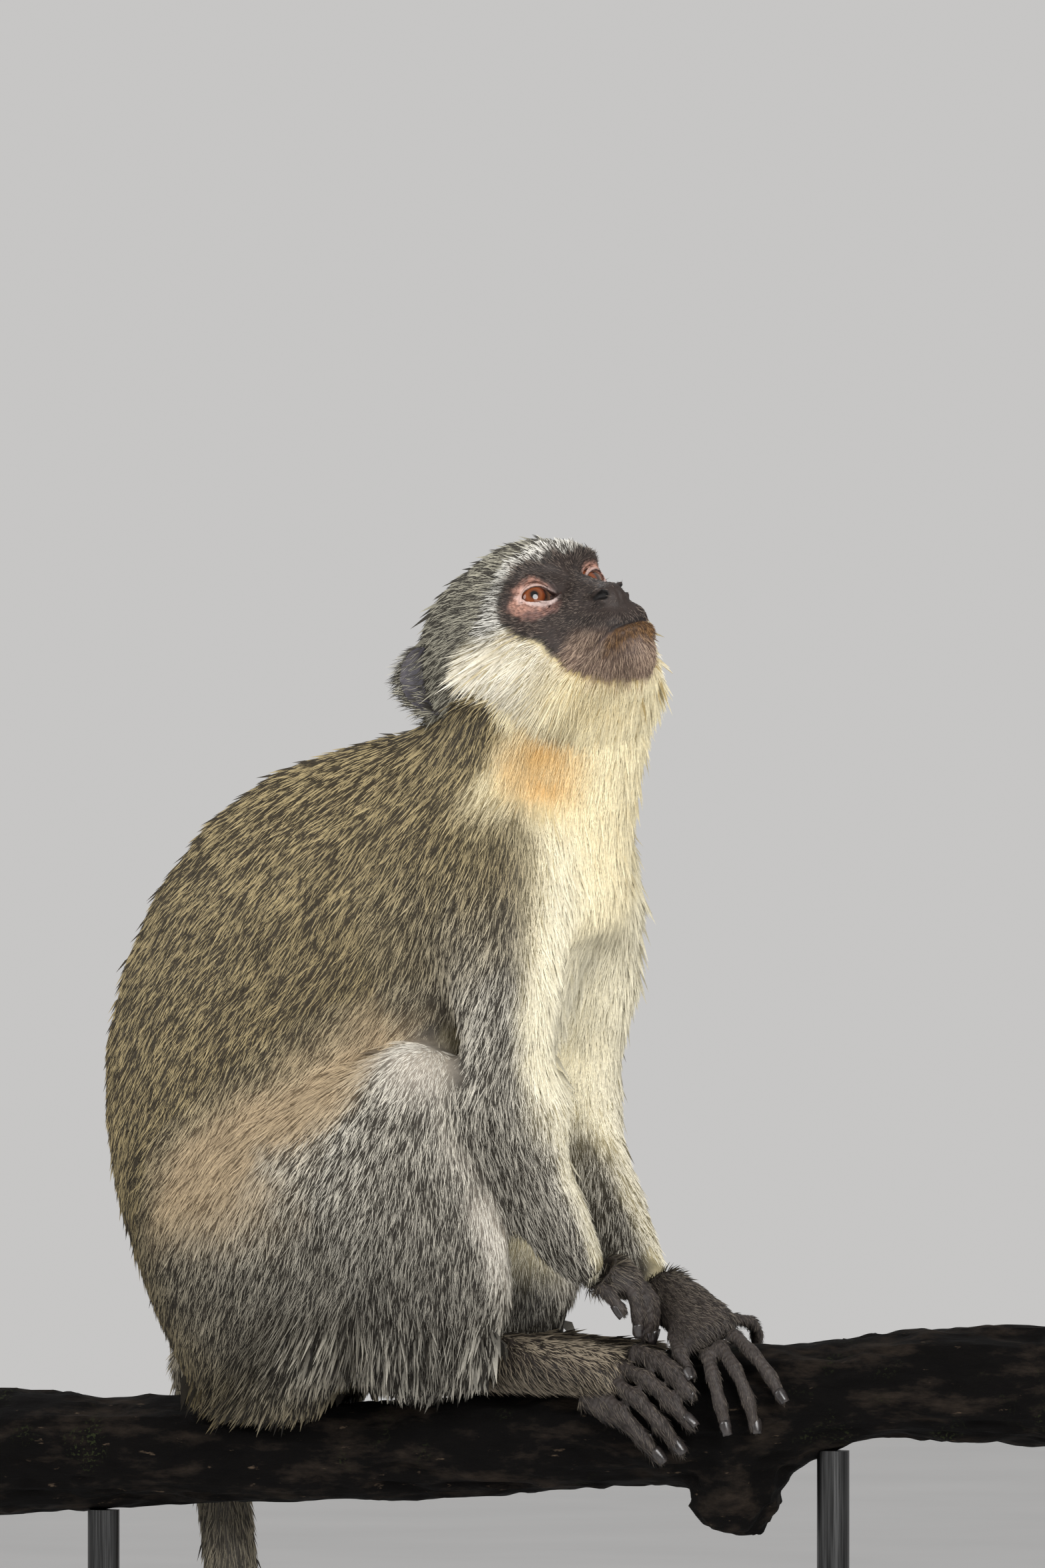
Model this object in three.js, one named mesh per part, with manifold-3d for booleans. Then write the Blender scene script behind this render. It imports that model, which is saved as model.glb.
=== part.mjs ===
// A vervet monkey, life size, seated along a short length of branch with its head raised and turned to its
// right. A plain stand of a base and two rods carries the branch, high enough for the tail to hang free.
// Millimetres, +Z up. The animal faces +X and its left side is +Y. The origin is the middle of the stand's
// underside. The body is laid out in the seat's frame, whose origin is on top of the branch under the rump.
import * as THREE from "three";
import Module from "manifold-3d";

const wasm = await Module();
wasm.setup();
const { Manifold, Mesh } = wasm;

// ---------------------------------------------------------------- driving dimensions
const GAP = 0.3; // left between neighbouring solids
const SEAT_HEIGHT = 590; // top of the branch under the rump, above the floor
const SEAT_TO_BASE = 45; // how far the middle of the stand lies in front of the seat's origin
const BASE = { length: 430, width: 270, height: 18, corner: 40, bevel: 3 };
const ROD = { radius: 7, behind: -128, ahead: 214 };
const TAIL_LENGTH = 560;
const HEAD = { yaw: -38, pitch: 28, roll: 15 }; // degrees from level and straight ahead
const EYES_MIDDLE = [102, -30, 353]; // seat frame, midway between the two pupils
const EYE = { radius: 9.6, apart: 28.4, depth: 8 };
const SEED = 7; // of the random draws that vary the locks' lengths and places

const SIDE = { right: -1, left: 1 };
const X_AXIS = new THREE.Vector3(1, 0, 0);
const Y_AXIS = new THREE.Vector3(0, 1, 0);
const Z_AXIS = new THREE.Vector3(0, 0, 1);
const radians = THREE.MathUtils.degToRad;

// ---------------------------------------------------------------- colours
const finish = (color, roughness = 0.9, metalness = 0) =>
  new THREE.MeshStandardMaterial({ color, roughness, metalness });
const FUR_BACK = finish(0x6b6455);
const FUR_PALE = finish(0xd9d3bd);
const FUR_LIMB = finish(0x77736c);
const FUR_DARK = finish(0x3a3532);
const FACE_SKIN = finish(0x2a2524, 0.6);
const EYE_AMBER = finish(0x8a3f16, 0.15);
const BARK = finish(0x2b241e);
const STAND_WOOD = finish(0x2f2a26, 0.5);
const STAND_STEEL = finish(0x1c1c1e, 0.4, 0.8);

// A source of repeatable random numbers from 0 to 1.
function randomDraws(seed) {
  let state = seed;
  return () => {
    state = (state * 1664525 + 1013904223) % 4294967296;
    return state / 4294967296;
  };
}

// ---------------------------------------------------------------- making and joining closed solids
// A closed solid from a list of points and a list of triangles.
function solidFrom(points, triangles) {
  const vertProperties = new Float32Array(points.length * 3);
  points.forEach((p, i) => vertProperties.set([p.x, p.y, p.z], i * 3));
  return new Manifold(new Mesh({ numProp: 3, vertProperties, triVerts: new Uint32Array(triangles.flat()) }));
}

// The largest closed body of a solid, without hollows or loose scraps.
function largestBody(solid) {
  const bodies = solid.decompose();
  return bodies.reduce((best, b) => (b.volume() > best.volume() ? b : best), bodies[0]);
}

const joined = (solids) => solids.reduce((all, s) => all.add(s));

// A three.js geometry as a solid: only its positions count, with shared corners merged.
function solidOfGeometry(geometry) {
  const flat = geometry.index ? geometry.toNonIndexed() : geometry;
  const positions = flat.attributes.position;
  const points = [];
  const found = new Map();
  const corners = [];
  for (let i = 0; i < positions.count; i++) {
    const p = new THREE.Vector3().fromBufferAttribute(positions, i);
    const key = p.toArray().map((x) => Math.round(x * 1e4)).join();
    if (!found.has(key)) found.set(key, points.push(p) - 1);
    corners.push(found.get(key));
  }
  const triangles = [];
  for (let i = 0; i < corners.length; i += 3) {
    const [a, b, c] = corners.slice(i, i + 3);
    if (a !== b && b !== c && c !== a) triangles.push([a, b, c]);
  }
  return solidFrom(points, triangles);
}

function geometryOfSolid(solid) {
  const mesh = solid.getMesh();
  const positions = new Float32Array(mesh.numVert * 3);
  for (let i = 0; i < mesh.numVert; i++) {
    positions.set(mesh.vertProperties.subarray(i * mesh.numProp, i * mesh.numProp + 3), i * 3);
  }
  return new THREE.BufferGeometry()
    .setAttribute("position", new THREE.BufferAttribute(positions, 3))
    .setIndex(new THREE.BufferAttribute(mesh.triVerts, 1));
}

// ---------------------------------------------------------------- lofts
const smoothLine = (points) =>
  new THREE.CatmullRomCurve3(points.map((p) => new THREE.Vector3(...p)), false, "catmullrom");

// A smooth line through the stations of a body part, with the part's half widths along it.
// A station is [x, y, z, half width across, half depth].
class Spine {
  constructor(stations, across = Y_AXIS) {
    this.centres = smoothLine(stations);
    this.sizes = smoothLine(stations.map(([, , , halfWidth, halfDepth]) => [halfWidth, halfDepth, 0]));
    this.across = across;
  }

  at(t) {
    const tangent = this.centres.getTangent(t);
    const across = this.across.clone().addScaledVector(tangent, -this.across.dot(tangent)).normalize();
    const deep = tangent.clone().cross(across);
    const size = this.sizes.getPoint(t);
    return { centre: this.centres.getPoint(t), tangent, across, deep, halfWidth: size.x, halfDepth: size.y };
  }
}

// A closed tube along a spine, from a place on it to another. caps gives how far each rounded end stands
// out, 0 for a flat end. grow makes it thicker all round, and shape(angle, t) may scale its radius.
function loft(spine, options = {}) {
  const { sides = 14, rings = 8, from = 0, to = 1, caps = [8, 8], capRings = 2 } = options;
  const { grow = 0, power = 2, shape } = options;
  const loops = [];
  const place = (frame, angle, scale, t) => {
    const c = Math.cos(angle);
    const s = Math.sin(angle);
    const k = shape ? shape(angle, t) : 1;
    const a = Math.sign(c) * Math.abs(c) ** (2 / power) * (frame.halfWidth * k + grow) * scale;
    const b = Math.sign(s) * Math.abs(s) ** (2 / power) * (frame.halfDepth * k + grow) * scale;
    return frame.centre.clone().addScaledVector(frame.across, a).addScaledVector(frame.deep, b);
  };
  const ring = (t, scale, along) => {
    const frame = spine.at(t);
    frame.centre.addScaledVector(frame.tangent, along);
    loops.push(Array.from({ length: sides }, (_, i) => place(frame, (i / sides) * 2 * Math.PI, scale, t)));
  };
  const endRings = (t, length, way, order) => {
    if (!length) return;
    for (const k of order) {
      const angle = (Math.PI / 2) * (k / (capRings + 1));
      ring(t, Math.cos(angle), way * (length + grow) * Math.sin(angle));
    }
  };
  const inward = Array.from({ length: capRings }, (_, i) => capRings - i);
  endRings(from, caps[0], -1, inward);
  for (let i = 0; i <= rings; i++) ring(from + ((to - from) * i) / rings, 1, 0);
  endRings(to, caps[1], 1, [...inward].reverse());
  const tip = (t, length, way) => {
    const frame = spine.at(t);
    return frame.centre.addScaledVector(frame.tangent, way * (length ? length + grow : 0));
  };
  return closeLoops(loops, tip(from, caps[0], -1), tip(to, caps[1], 1));
}

// Closes a stack of equal loops of points with a point at each end.
function closeLoops(loops, first, last) {
  const sides = loops[0].length;
  const points = [...loops.flat(), first, last];
  const triangles = [];
  const end = loops.length - 1;
  for (let j = 0; j < sides; j++) {
    const next = (j + 1) % sides;
    for (let i = 0; i < end; i++) {
      const [a, b, c, d] = [i * sides + j, i * sides + next, (i + 1) * sides + next, (i + 1) * sides + j];
      triangles.push([a, b, c], [a, c, d]);
    }
    triangles.push([points.length - 2, next, j]);
    triangles.push([points.length - 1, end * sides + j, end * sides + next]);
  }
  const solid = solidFrom(points, triangles);
  if (solid.volume() > 0) return solid;
  return solidFrom(points, triangles.map(([a, b, c]) => [a, c, b]));
}

const mirrored = (stations, side) => stations.map(([x, y, z, ...rest]) => [x, side * y, z, ...rest]);

// ---------------------------------------------------------------- locks of long fur
// Flat and tapered. Each is rooted under the skin, rises over it and bends along the lie of the coat.
const LOCK = { thick: 1.4, sink: 3, clear: 1.4 }; // half thickness, depth of the root, height over the skin

// pathAt(share, lift) gives the lock's middle a share of the way to the tip, lift above the skin.
function lock(pathAt, across, halfWidth, tipLift, grow) {
  const stations = [[0, 0.8], [0.3, 1], [0.65, 0.85], [1, 0.2]].map(([share, wide]) => {
    const lift = share ? LOCK.clear + tipLift * share ** 2 : -LOCK.sink;
    return [...pathAt(share, lift), halfWidth * wide, LOCK.thick * Math.max(wide, 0.35)];
  });
  return loft(new Spine(stations, across), { sides: 4, rings: 3, caps: [0, 2], capRings: 0, grow });
}

// ---------------------------------------------------------------- the branch
// Stations of the branch: [x, y, z of the centre, radius].
const BRANCH = [
  [-206, 6, -27, 31], [-128, 2, -24, 27], [-50, 0, -23, 24], [28, 0, -20.5, 24], [91, 0, -13, 27],
  [138, 0, -6, 31], [172, 0, -2, 32], [200, 1, 3.5, 28], [230, 2, 9, 24.5], [264, 4, 11.5, 27],
  [342, 10, 10, 30],
].map(([x, y, z, r]) => [x, y, z, r, r]);
const branchSpine = new Spine(BRANCH);
const BRANCH_STUB = { x: 172, drop: 50, radius: 21, lean: -8 };

// How thick the bark stands at an angle round the branch and a place along it, as a share of the radius.
const bark = (angle, t) =>
  1 + 0.02 * Math.sin(3 * angle + 9 * t) + 0.02 * Math.sin(5 * angle - 31 * t) + 0.015 * Math.sin(40 * t);

function makeBranch(grow) {
  const limb = loft(branchSpine, { sides: 13, rings: 15, caps: [0, 0], grow, shape: bark });
  const { x, drop, radius, lean } = BRANCH_STUB;
  const stub = loft(new Spine([
    [x - 2, 0, 0, radius * 1.5, radius * 1.5],
    [x, 0, -drop * 0.55, radius * 1.15, radius * 1.2],
    [x + lean, 0, -drop, radius * 0.8, radius * 0.9],
  ]), { sides: 12, rings: 3, caps: [4, 5], grow });
  return joined([limb, stub]);
}

// The branch's centre and radius at a place along it.
function branchAt(x) {
  let [low, high] = [0, 1];
  for (let i = 0; i < 24; i++) {
    const middle = (low + high) / 2;
    if (branchSpine.centres.getPoint(middle).x < x) low = middle;
    else high = middle;
  }
  return branchSpine.at((low + high) / 2);
}

// A point lift above the branch's surface, at x along it, turned angle degrees from its top to the right.
function onBranch(x, angle, lift) {
  const { centre, halfWidth } = branchAt(x);
  const reach = halfWidth + lift;
  return [x, centre.y - reach * Math.sin(radians(angle)), centre.z + reach * Math.cos(radians(angle))];
}

// ---------------------------------------------------------------- the trunk of the body
const TRUNK = new Spine([
  [-47, 0, 18, 48, 43], [-46, 0, 60, 58, 64], [-41, 0, 104, 61, 84], [-29, 0, 148, 60, 96],
  [-4, 0, 189, 58, 97], [31, 0, 221, 54, 81], [62, 0, 246, 46, 60],
]);
const WAIST = 0.52; // where the loin ends and the chest begins, along the trunk

const trunk = (from, to, caps) => (grow) => loft(TRUNK, { sides: 20, rings: 6, from, to, caps, grow });

const NECK = new Spine([
  [62, 0, 226, 40, 52], [74, -2, 262, 43, 48], [86, -8, 296, 43, 43], [88, -14, 322, 34, 34],
]);

// The fringe down the throat. Each row starts at a place along the neck, t, and runs round its front,
// where 0 is the middle, from -spread to spread degrees.
const FRINGE_ROWS = [
  { t: 0.86, count: 6, spread: 75, length: 0.33, halfWidth: 8.5 },
  { t: 0.6, count: 6, spread: 80, length: 0.33, halfWidth: 10 },
];
const FRINGE_TIP_LIFT = 7;

function neckLock(turn, { t, length, halfWidth }, grow) {
  const surface = (share, lift) => {
    const { centre, across, deep, halfWidth: wide, halfDepth } = NECK.at(t - length * share);
    const front = deep.clone().negate();
    return centre.addScaledVector(across, (wide + lift) * Math.sin(turn))
      .addScaledVector(front, (halfDepth + lift) * Math.cos(turn));
  };
  const around = new THREE.Vector3(-Math.sin(turn), Math.cos(turn), 0);
  return lock(surface, around, halfWidth, FRINGE_TIP_LIFT, grow);
}

function neck(grow) {
  const draw = randomDraws(SEED);
  const locks = FRINGE_ROWS.flatMap((row) => Array.from({ length: row.count }, (_, i) => {
    const turn = radians(row.spread * ((2 * (i + 0.5)) / row.count - 1));
    return neckLock(turn, { ...row, length: row.length * (0.85 + 0.3 * draw()) }, grow);
  }));
  return joined([loft(NECK, { sides: 18, rings: 6, caps: [10, 10], grow }), ...locks]);
}

// ---------------------------------------------------------------- the limbs, given for the right side
const THIGH = [
  [-50, -30, 50, 30, 46], [-24, -44, 70, 34, 50], [6, -56, 98, 30, 42], [34, -61, 126, 24, 30],
  [48, -61, 140, 20, 22],
];
const SHIN = [
  [46, -60, 136, 19, 21], [48, -56, 108, 24, 33], [42, -48, 76, 25, 43], [39, -37, 46, 22, 45],
  [42, -25, 26, 15, 34],
];

// The arms differ: the left one reaches further along the branch.
const UPPER_ARM = {
  right: [[70, -36, 240, 24, 34], [80, -48, 204, 22, 28], [84, -55, 166, 19, 23], [84, -52, 134, 17, 19]],
  left: [[70, 36, 240, 24, 34], [80, 50, 204, 22, 28], [74, 58, 166, 19, 23], [63, 60, 134, 17, 19]],
};
const FOREARM = {
  right: [[84, -52, 132, 17, 19], [91, -47, 104, 17, 21], [102, -38, 78, 15, 18], [112, -28, 58, 11, 12]],
  left: [[63, 60, 132, 17, 19], [82, 49, 104, 17, 20], [104, 31, 74, 15, 17], [123, 17, 51, 11, 12]],
};
const PALM = {
  right: [[109, -28, 58, 10.5, 10], [118, -24, 58, 11.5, 9], [126, -18, 54, 12.5, 7.5]],
  left: [[124, 17, 51, 10.5, 10], [145, -1, 43, 12.5, 8], [165, -19, 32, 14, 6.5]],
};
const PALM_ACROSS = { right: new THREE.Vector3(0, 1, 0), left: new THREE.Vector3(0, 0.77, 0.64) };
const FOOT = [
  [42, 8, 12.5, 11, 12], [70, 26, 12.5, 12, 12], [98, 41, 11.5, 13, 10.5], [122, 49, 8.5, 14, 7.5],
].map(([x, angle, lift, w, d]) => [...onBranch(x, angle, lift), w, d]);
const FOOT_SLANT = radians(32); // how far the sole is turned about the branch

// Toes, and the fingers of the left hand, lie over the branch. Each runs through points given as
// [x, angle round the branch, lift above it].
const TOES = {
  hallux: [[130, 36, 7.5], [143, 46, 6.5], [153, 58, 5.5], [161, 73, 3.8]],
  second: [[124, 46, 7], [140, 60, 7], [153, 78, 5], [162, 95, 3.6]],
  third: [[121, 55, 7], [137, 73, 7], [149, 93, 5], [156, 112, 3.6]],
  fourth: [[116, 62, 7], [130, 81, 7], [140, 101, 5], [146, 117, 3.6]],
  fifth: [[110, 66, 6.5], [124, 82, 6.5], [134, 92, 4.8], [141, 101, 3.4]],
};
const LEFT_FINGERS = {
  thumb: [[146, 22, 9], [154, 44, 6.5], [161, 61, 4]],
  index: [[166, 44, 7], [172, 64, 6.5], [176, 84, 4.5], [178, 102, 3.6]],
  middle: [[170, 38, 7], [181, 60, 6.5], [188, 84, 4.5], [190, 106, 3.6]],
  ring: [[174, 28, 7], [187, 49, 6.5], [197, 70, 4.5], [202, 88, 3.6]],
  little: [[167, 6, 9], [173, -12, 7], [172, -30, 4.5], [168, -46, 3.4]],
};
// The right hand is half closed, its fingers hanging from the knuckles. Points are [x, y, z].
const RIGHT_FINGERS = {
  thumb: [[115, -33, 55], [123, -34, 50], [129, -32, 41.5]],
  index: [[127, -26.5, 54], [133, -28, 49], [134.5, -26, 39], [133, -24, 32]],
  middle: [[129, -19, 54], [136, -20, 47], [136.5, -18.5, 38], [134, -17, 29.5]],
  ring: [[129, -12, 53], [135.5, -12.5, 46], [136, -11.5, 37], [133, -10, 29.5]],
  little: [[127, -6, 51], [132.5, -5.5, 44], [133, -4.5, 36], [130.5, -4, 29]],
};
const DIGIT_RADIUS = { hallux: 4.8, thumb: 3.8, fifth: 3.7, little: 3.3 };
const TOE_RADIUS = 4.1;
const FINGER_RADIUS = 3.6;
const DIGIT_TIP = 0.82; // a digit's radius at its tip, and the rounding beyond it, as shares of its radius
const KNUCKLE_SWELLING = 0.1; // how much thicker a digit is at its joints, as a share of its radius

function limb(stations, side, caps, options = {}) {
  const spine = new Spine(mirrored(stations, side), options.across ?? Y_AXIS);
  return (grow) => loft(spine, { sides: 12, rings: 4, caps, grow, ...options });
}

// A toe or finger with a knuckle swelling at each joint.
function digit(points, radius) {
  const last = points.length - 1;
  const spine = new Spine(points.map((p, i) => {
    const r = i === last ? radius * DIGIT_TIP : radius;
    return [...p, r, r];
  }), new THREE.Vector3(1, 0, 0));
  const shape = (angle, t) => 1 + KNUCKLE_SWELLING * Math.cos(2 * Math.PI * last * t);
  const caps = [0, radius * DIGIT_TIP];
  return (grow) => loft(spine, { sides: 6, rings: last * 2, caps, capRings: 1, grow, shape });
}

// ---------------------------------------------------------------- the tail
// It leaves the rump behind, passes over the branch's far side and hangs, with a slight swing at its end.
const TAIL_PATH = smoothLine([
  [-78, 12, 24], [-96, 30, 12], [-94, 45, -22], [-88, 47, -70], [-84, 47, -150], [-84, 46, -240],
  [-88, 45, -330], [-96, 45, -420], [-100, 46, -490], [-94, 48, -TAIL_LENGTH + 28],
]);
const TAIL_RADII = { root: 15, middle: 13, tip: 7.5 };
const TAIL_LENGTHS = 4;

function tailSpine() {
  const steps = 24;
  return new Spine(Array.from({ length: steps + 1 }, (_, i) => {
    const t = i / steps;
    const p = TAIL_PATH.getPointAt(t);
    const r = t < 0.5
      ? THREE.MathUtils.lerp(TAIL_RADII.root, TAIL_RADII.middle, t * 2)
      : THREE.MathUtils.lerp(TAIL_RADII.middle, TAIL_RADII.tip, t * 2 - 1);
    return [p.x, p.y, p.z, r, r];
  }), new THREE.Vector3(1, 0.2, 0));
}

// ---------------------------------------------------------------- the head
// Its own frame has +X along the muzzle, +Y to the left and +Z to the crown, from midway between the pupils.
const headFrame = new THREE.Matrix4()
  .makeRotationZ(radians(HEAD.yaw))
  .multiply(new THREE.Matrix4().makeRotationY(radians(-HEAD.pitch)))
  .multiply(new THREE.Matrix4().makeRotationX(radians(HEAD.roll)))
  .setPosition(...EYES_MIDDLE);
const inSeatFrame = (p) => p.clone().applyMatrix4(headFrame);

// Distance-like fields, negative inside. Points and sizes are in the head's frame.
const ellipsoid = (centre, radii) => (p) => {
  const [x, y, z] = [p.x - centre[0], p.y - centre[1], p.z - centre[2]];
  const k = Math.hypot(x / radii[0], y / radii[1], z / radii[2]);
  const slope = Math.hypot(x / radii[0] ** 2, y / radii[1] ** 2, z / radii[2] ** 2);
  return slope ? (k * (k - 1)) / slope : -Math.min(...radii);
};
const cone = (a, ra, b, rb) => {
  const [va, ab] = [new THREE.Vector3(...a), new THREE.Vector3(...b).sub(new THREE.Vector3(...a))];
  return (p) => {
    const along = THREE.MathUtils.clamp(p.clone().sub(va).dot(ab) / ab.lengthSq(), 0, 1);
    return p.distanceTo(va.clone().addScaledVector(ab, along)) - THREE.MathUtils.lerp(ra, rb, along);
  };
};
const blend = (a, b, k) => {
  const h = Math.max(k - Math.abs(a - b), 0) / k;
  return Math.min(a, b) - (h * h * k) / 4;
};
const carveField = (body, hollow, k) => -blend(-body, hollow, k);

const MOUTH = { cornerHeight: -37, frontHeight: -34, turn: 1.22, halfHeight: 0.7, depth: 2.2 };
const eyeCentre = (side) => [-EYE.depth, (side * EYE.apart) / 2, 0];

// Each form: the field, and how softly it melts into those before it.
const HEAD_FORMS = [
  [ellipsoid([-44, 0, 1], [49, 38, 35]), 1], // braincase
  [ellipsoid([-24, 0, 10], [30, 28, 20.5]), 8], // forehead
  [cone([-4, 0, -20], 20, [16.5, 0, -30], 12.2), 12], // muzzle
  [cone([2, 0, -2], 6.5, [22.5, 0, -16.5], 5), 8], // bridge of the nose
  [ellipsoid([25.5, 0, -20], [4.8, 6.2, 5]), 5], // nose pad
  [cone([-12, 0, -38], 19, [17.5, 0, -42], 11.5), 8], // lower jaw
  [ellipsoid([-18, 0, -44], [32, 31, 20]), 12], // throat
];
const PAIRED_FORMS = [
  [(s) => ellipsoid([-4, s * 12, 10.5], [6.5, 12.5, 4.6]), 6], // brow
  [(s) => ellipsoid([-30, s * 26, -24], [30, 14.5, 23.5]), 12], // cheek
  [(s) => ellipsoid([-59, s * 26, -14], [27, 13, 22]), 12], // side of the head behind the cheek
  [(s) => ellipsoid([16.5, s * 6.5, -30.5], [11.5, 8, 7.5]), 5], // upper lip
];
const SOCKET = { centre: [7, 16, -1], radii: [8, 11, 7.5], soft: 6 };
const LIDS = { radius: 10.8, soft: 2 };

function headField(p) {
  let d = Infinity;
  for (const [form, soft] of HEAD_FORMS) d = blend(d === Infinity ? 1e3 : d, form(p), soft);
  for (const [form, soft] of PAIRED_FORMS) {
    for (const side of [1, -1]) d = blend(d, form(side)(p), soft);
  }
  for (const side of [1, -1]) {
    const [x, y, z] = SOCKET.centre;
    d = carveField(d, ellipsoid([x, side * y, z], SOCKET.radii)(p), SOCKET.soft);
    d = blend(d, p.distanceTo(new THREE.Vector3(...eyeCentre(side))) - LIDS.radius, LIDS.soft);
  }
  return d;
}

// The outermost point of the head on a ray from start along way, grown by grow.
function onHead(start, way, grow = 0) {
  const field = (t) => headField(start.clone().addScaledVector(way, t)) - grow;
  let outside = 130;
  while (outside > 2 && field(outside - 1.5) > 0) outside -= 1.5;
  let inside = outside - 1.5;
  for (let i = 0; i < 14; i++) {
    const middle = (inside + outside) / 2;
    if (field(middle) > 0) outside = middle;
    else inside = middle;
  }
  return start.clone().addScaledVector(way, inside);
}

const HEAD_MIDDLE = new THREE.Vector3(-20, 0, -14);

// The head's skin: rings about the muzzle's axis, pushed out to the field. Rings crowd towards the face.
function headSkin(grow, rings = 24, sides = 28) {
  const loops = [];
  for (let i = 1; i < rings; i++) {
    const polar = Math.PI * (i / rings) ** 1.15;
    loops.push(Array.from({ length: sides }, (_, j) => {
      const turn = (j / sides) * 2 * Math.PI;
      const way = new THREE.Vector3(
        Math.cos(polar), Math.sin(polar) * Math.sin(turn), Math.sin(polar) * Math.cos(turn));
      return inSeatFrame(onHead(HEAD_MIDDLE, way, grow));
    }));
  }
  const pole = (x) => inSeatFrame(onHead(HEAD_MIDDLE, new THREE.Vector3(x, 0, 0), grow));
  return closeLoops(loops, pole(1), pole(-1));
}

// A tube through points of the head's frame, each [x, y, z, half width, half depth].
function headTube(points, across, options) {
  const stations = points.map(([x, y, z, ...sizes]) => {
    return [...inSeatFrame(new THREE.Vector3(x, y, z)), ...sizes];
  });
  return loft(new Spine(stations, new THREE.Vector3(...across).transformDirection(headFrame)), options);
}

// The almond opening between the lids faces almost straight ahead.
const OPENING = { halfWidth: 7.6, halfHeight: 4.3, rise: -0.4, aside: 0.12 };

// A point of the opening's rim, turned from its outer corner over the top, and how far from the eye's middle.
function rimPoint(side, turn, distance) {
  const across = -Math.cos(turn) * OPENING.halfWidth;
  const up = Math.sign(Math.sin(turn)) * Math.abs(Math.sin(turn)) ** 1.3 * OPENING.halfHeight + OPENING.rise;
  const ahead = Math.sqrt(distance ** 2 - across ** 2 - up ** 2);
  const [x, y, z] = eyeCentre(side);
  return new THREE.Vector3(x + ahead, y - side * across + side * OPENING.aside * ahead, z + up);
}

// The cut through the lids, from inside the eyeball outwards.
function lidOpening(side) {
  const sides = 12;
  const loops = [8, 13, 17].map((distance) => Array.from({ length: sides }, (_, i) =>
    inSeatFrame(rimPoint(side, (i / sides) * 2 * Math.PI, distance))));
  const middle = (loop) => loop.reduce((sum, p) => sum.add(p), new THREE.Vector3()).divideScalar(sides);
  return closeLoops(loops, middle(loops[0]), middle(loops.at(-1)));
}

// The raised edge of the upper lid, way 1, or the lower one, way -1.
function lidEdge(side, way) {
  const steps = 6;
  const points = Array.from({ length: steps + 1 }, (_, i) => {
    const turn = way * Math.PI * (0.04 + (0.92 * i) / steps);
    return [...rimPoint(side, turn, LIDS.radius + 0.2), 1.1, 0.9];
  });
  return headTube(points, [1, 0, 0], { sides: 4, rings: steps, caps: [0.6, 0.6], capRings: 0 });
}

function nostril(side) {
  const stations = [
    [18.5, side * 2.8, -20.5, 1, 1.5], [24, side * 4.2, -19.2, 1.4, 2], [33, side * 7.8, -17.5, 1.9, 2.6],
  ];
  return headTube(stations, [0, 1, side * 0.6], { sides: 7, rings: 2, caps: [0.5, 0] });
}

// The closed mouth is a thin groove that follows the surface from corner to corner round the muzzle.
function mouthLine() {
  const steps = 10;
  const start = new THREE.Vector3(6, 0, 0);
  const points = Array.from({ length: steps + 1 }, (_, i) => {
    const share = THREE.MathUtils.lerp(-1, 1, i / steps);
    const height = THREE.MathUtils.lerp(MOUTH.frontHeight, MOUTH.cornerHeight, share * share);
    const turn = share * MOUTH.turn;
    const p = onHead(start.clone().setZ(height), new THREE.Vector3(Math.cos(turn), Math.sin(turn), 0));
    return [p.x, p.y, p.z, MOUTH.halfHeight, MOUTH.depth];
  });
  return headTube(points, [0, 0, 1], { sides: 5, rings: 12, caps: [0.5, 0.5] });
}

// ---------------------------------------------------------------- the ruff and the brow band
// Each row of locks runs along a line on the head, and its locks lie back from it.
const FACE_EDGE = smoothLine([
  [-10, 26, 20], [-12, 34, 4], [-10, 36, -12], [-8, 33, -28], [-4, 28, -42], [2, 16, -54],
]);
const BROW_EDGE = smoothLine([
  [-10, 26, 20], [-3, 17, 21], [-1, 6, 22], [-1, -6, 22], [-3, -17, 21], [-10, -26, 20],
]);
const RUFF_LIE = smoothLine([[-0.8, 0.4, 0.55], [-0.75, 0.65, 0], [-0.75, 0.35, -0.5]]);
const RUFF_ROWS = [
  { back: 0, count: 6, length: 27, halfWidth: 8.5 },
  { back: 15, count: 6, length: 32, halfWidth: 9.5 },
  { back: 32, count: 5, length: 31, halfWidth: 10 },
];
const RUFF_TIP_LIFT = 8; // how far the tips stand off the head
const BROW_BAND = { count: 7, length: 18, halfWidth: 6, tipLift: 2.5 };

function outOfHead(p) {
  const step = 0.5;
  const slope = (axis) => headField(p.clone().addScaledVector(axis, step))
    - headField(p.clone().addScaledVector(axis, -step));
  return new THREE.Vector3(slope(X_AXIS), slope(Y_AXIS), slope(Z_AXIS)).normalize();
}

// A lock rooted on the skin near a point of the head's frame. It lies along lie, bent to follow the head.
function headLock(near, lie, { length, halfWidth, tipLift }, grow) {
  const root = onHead(HEAD_MIDDLE, near.clone().sub(HEAD_MIDDLE).normalize());
  const last = root.clone();
  let reached = 0;
  return lock((share, lift) => {
    last.addScaledVector(lie, length * (share - reached));
    reached = share;
    last.addScaledVector(outOfHead(last), lift - headField(last));
    return inSeatFrame(last);
  }, lie.clone().cross(outOfHead(root)).transformDirection(headFrame), halfWidth, tipLift, grow);
}

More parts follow.
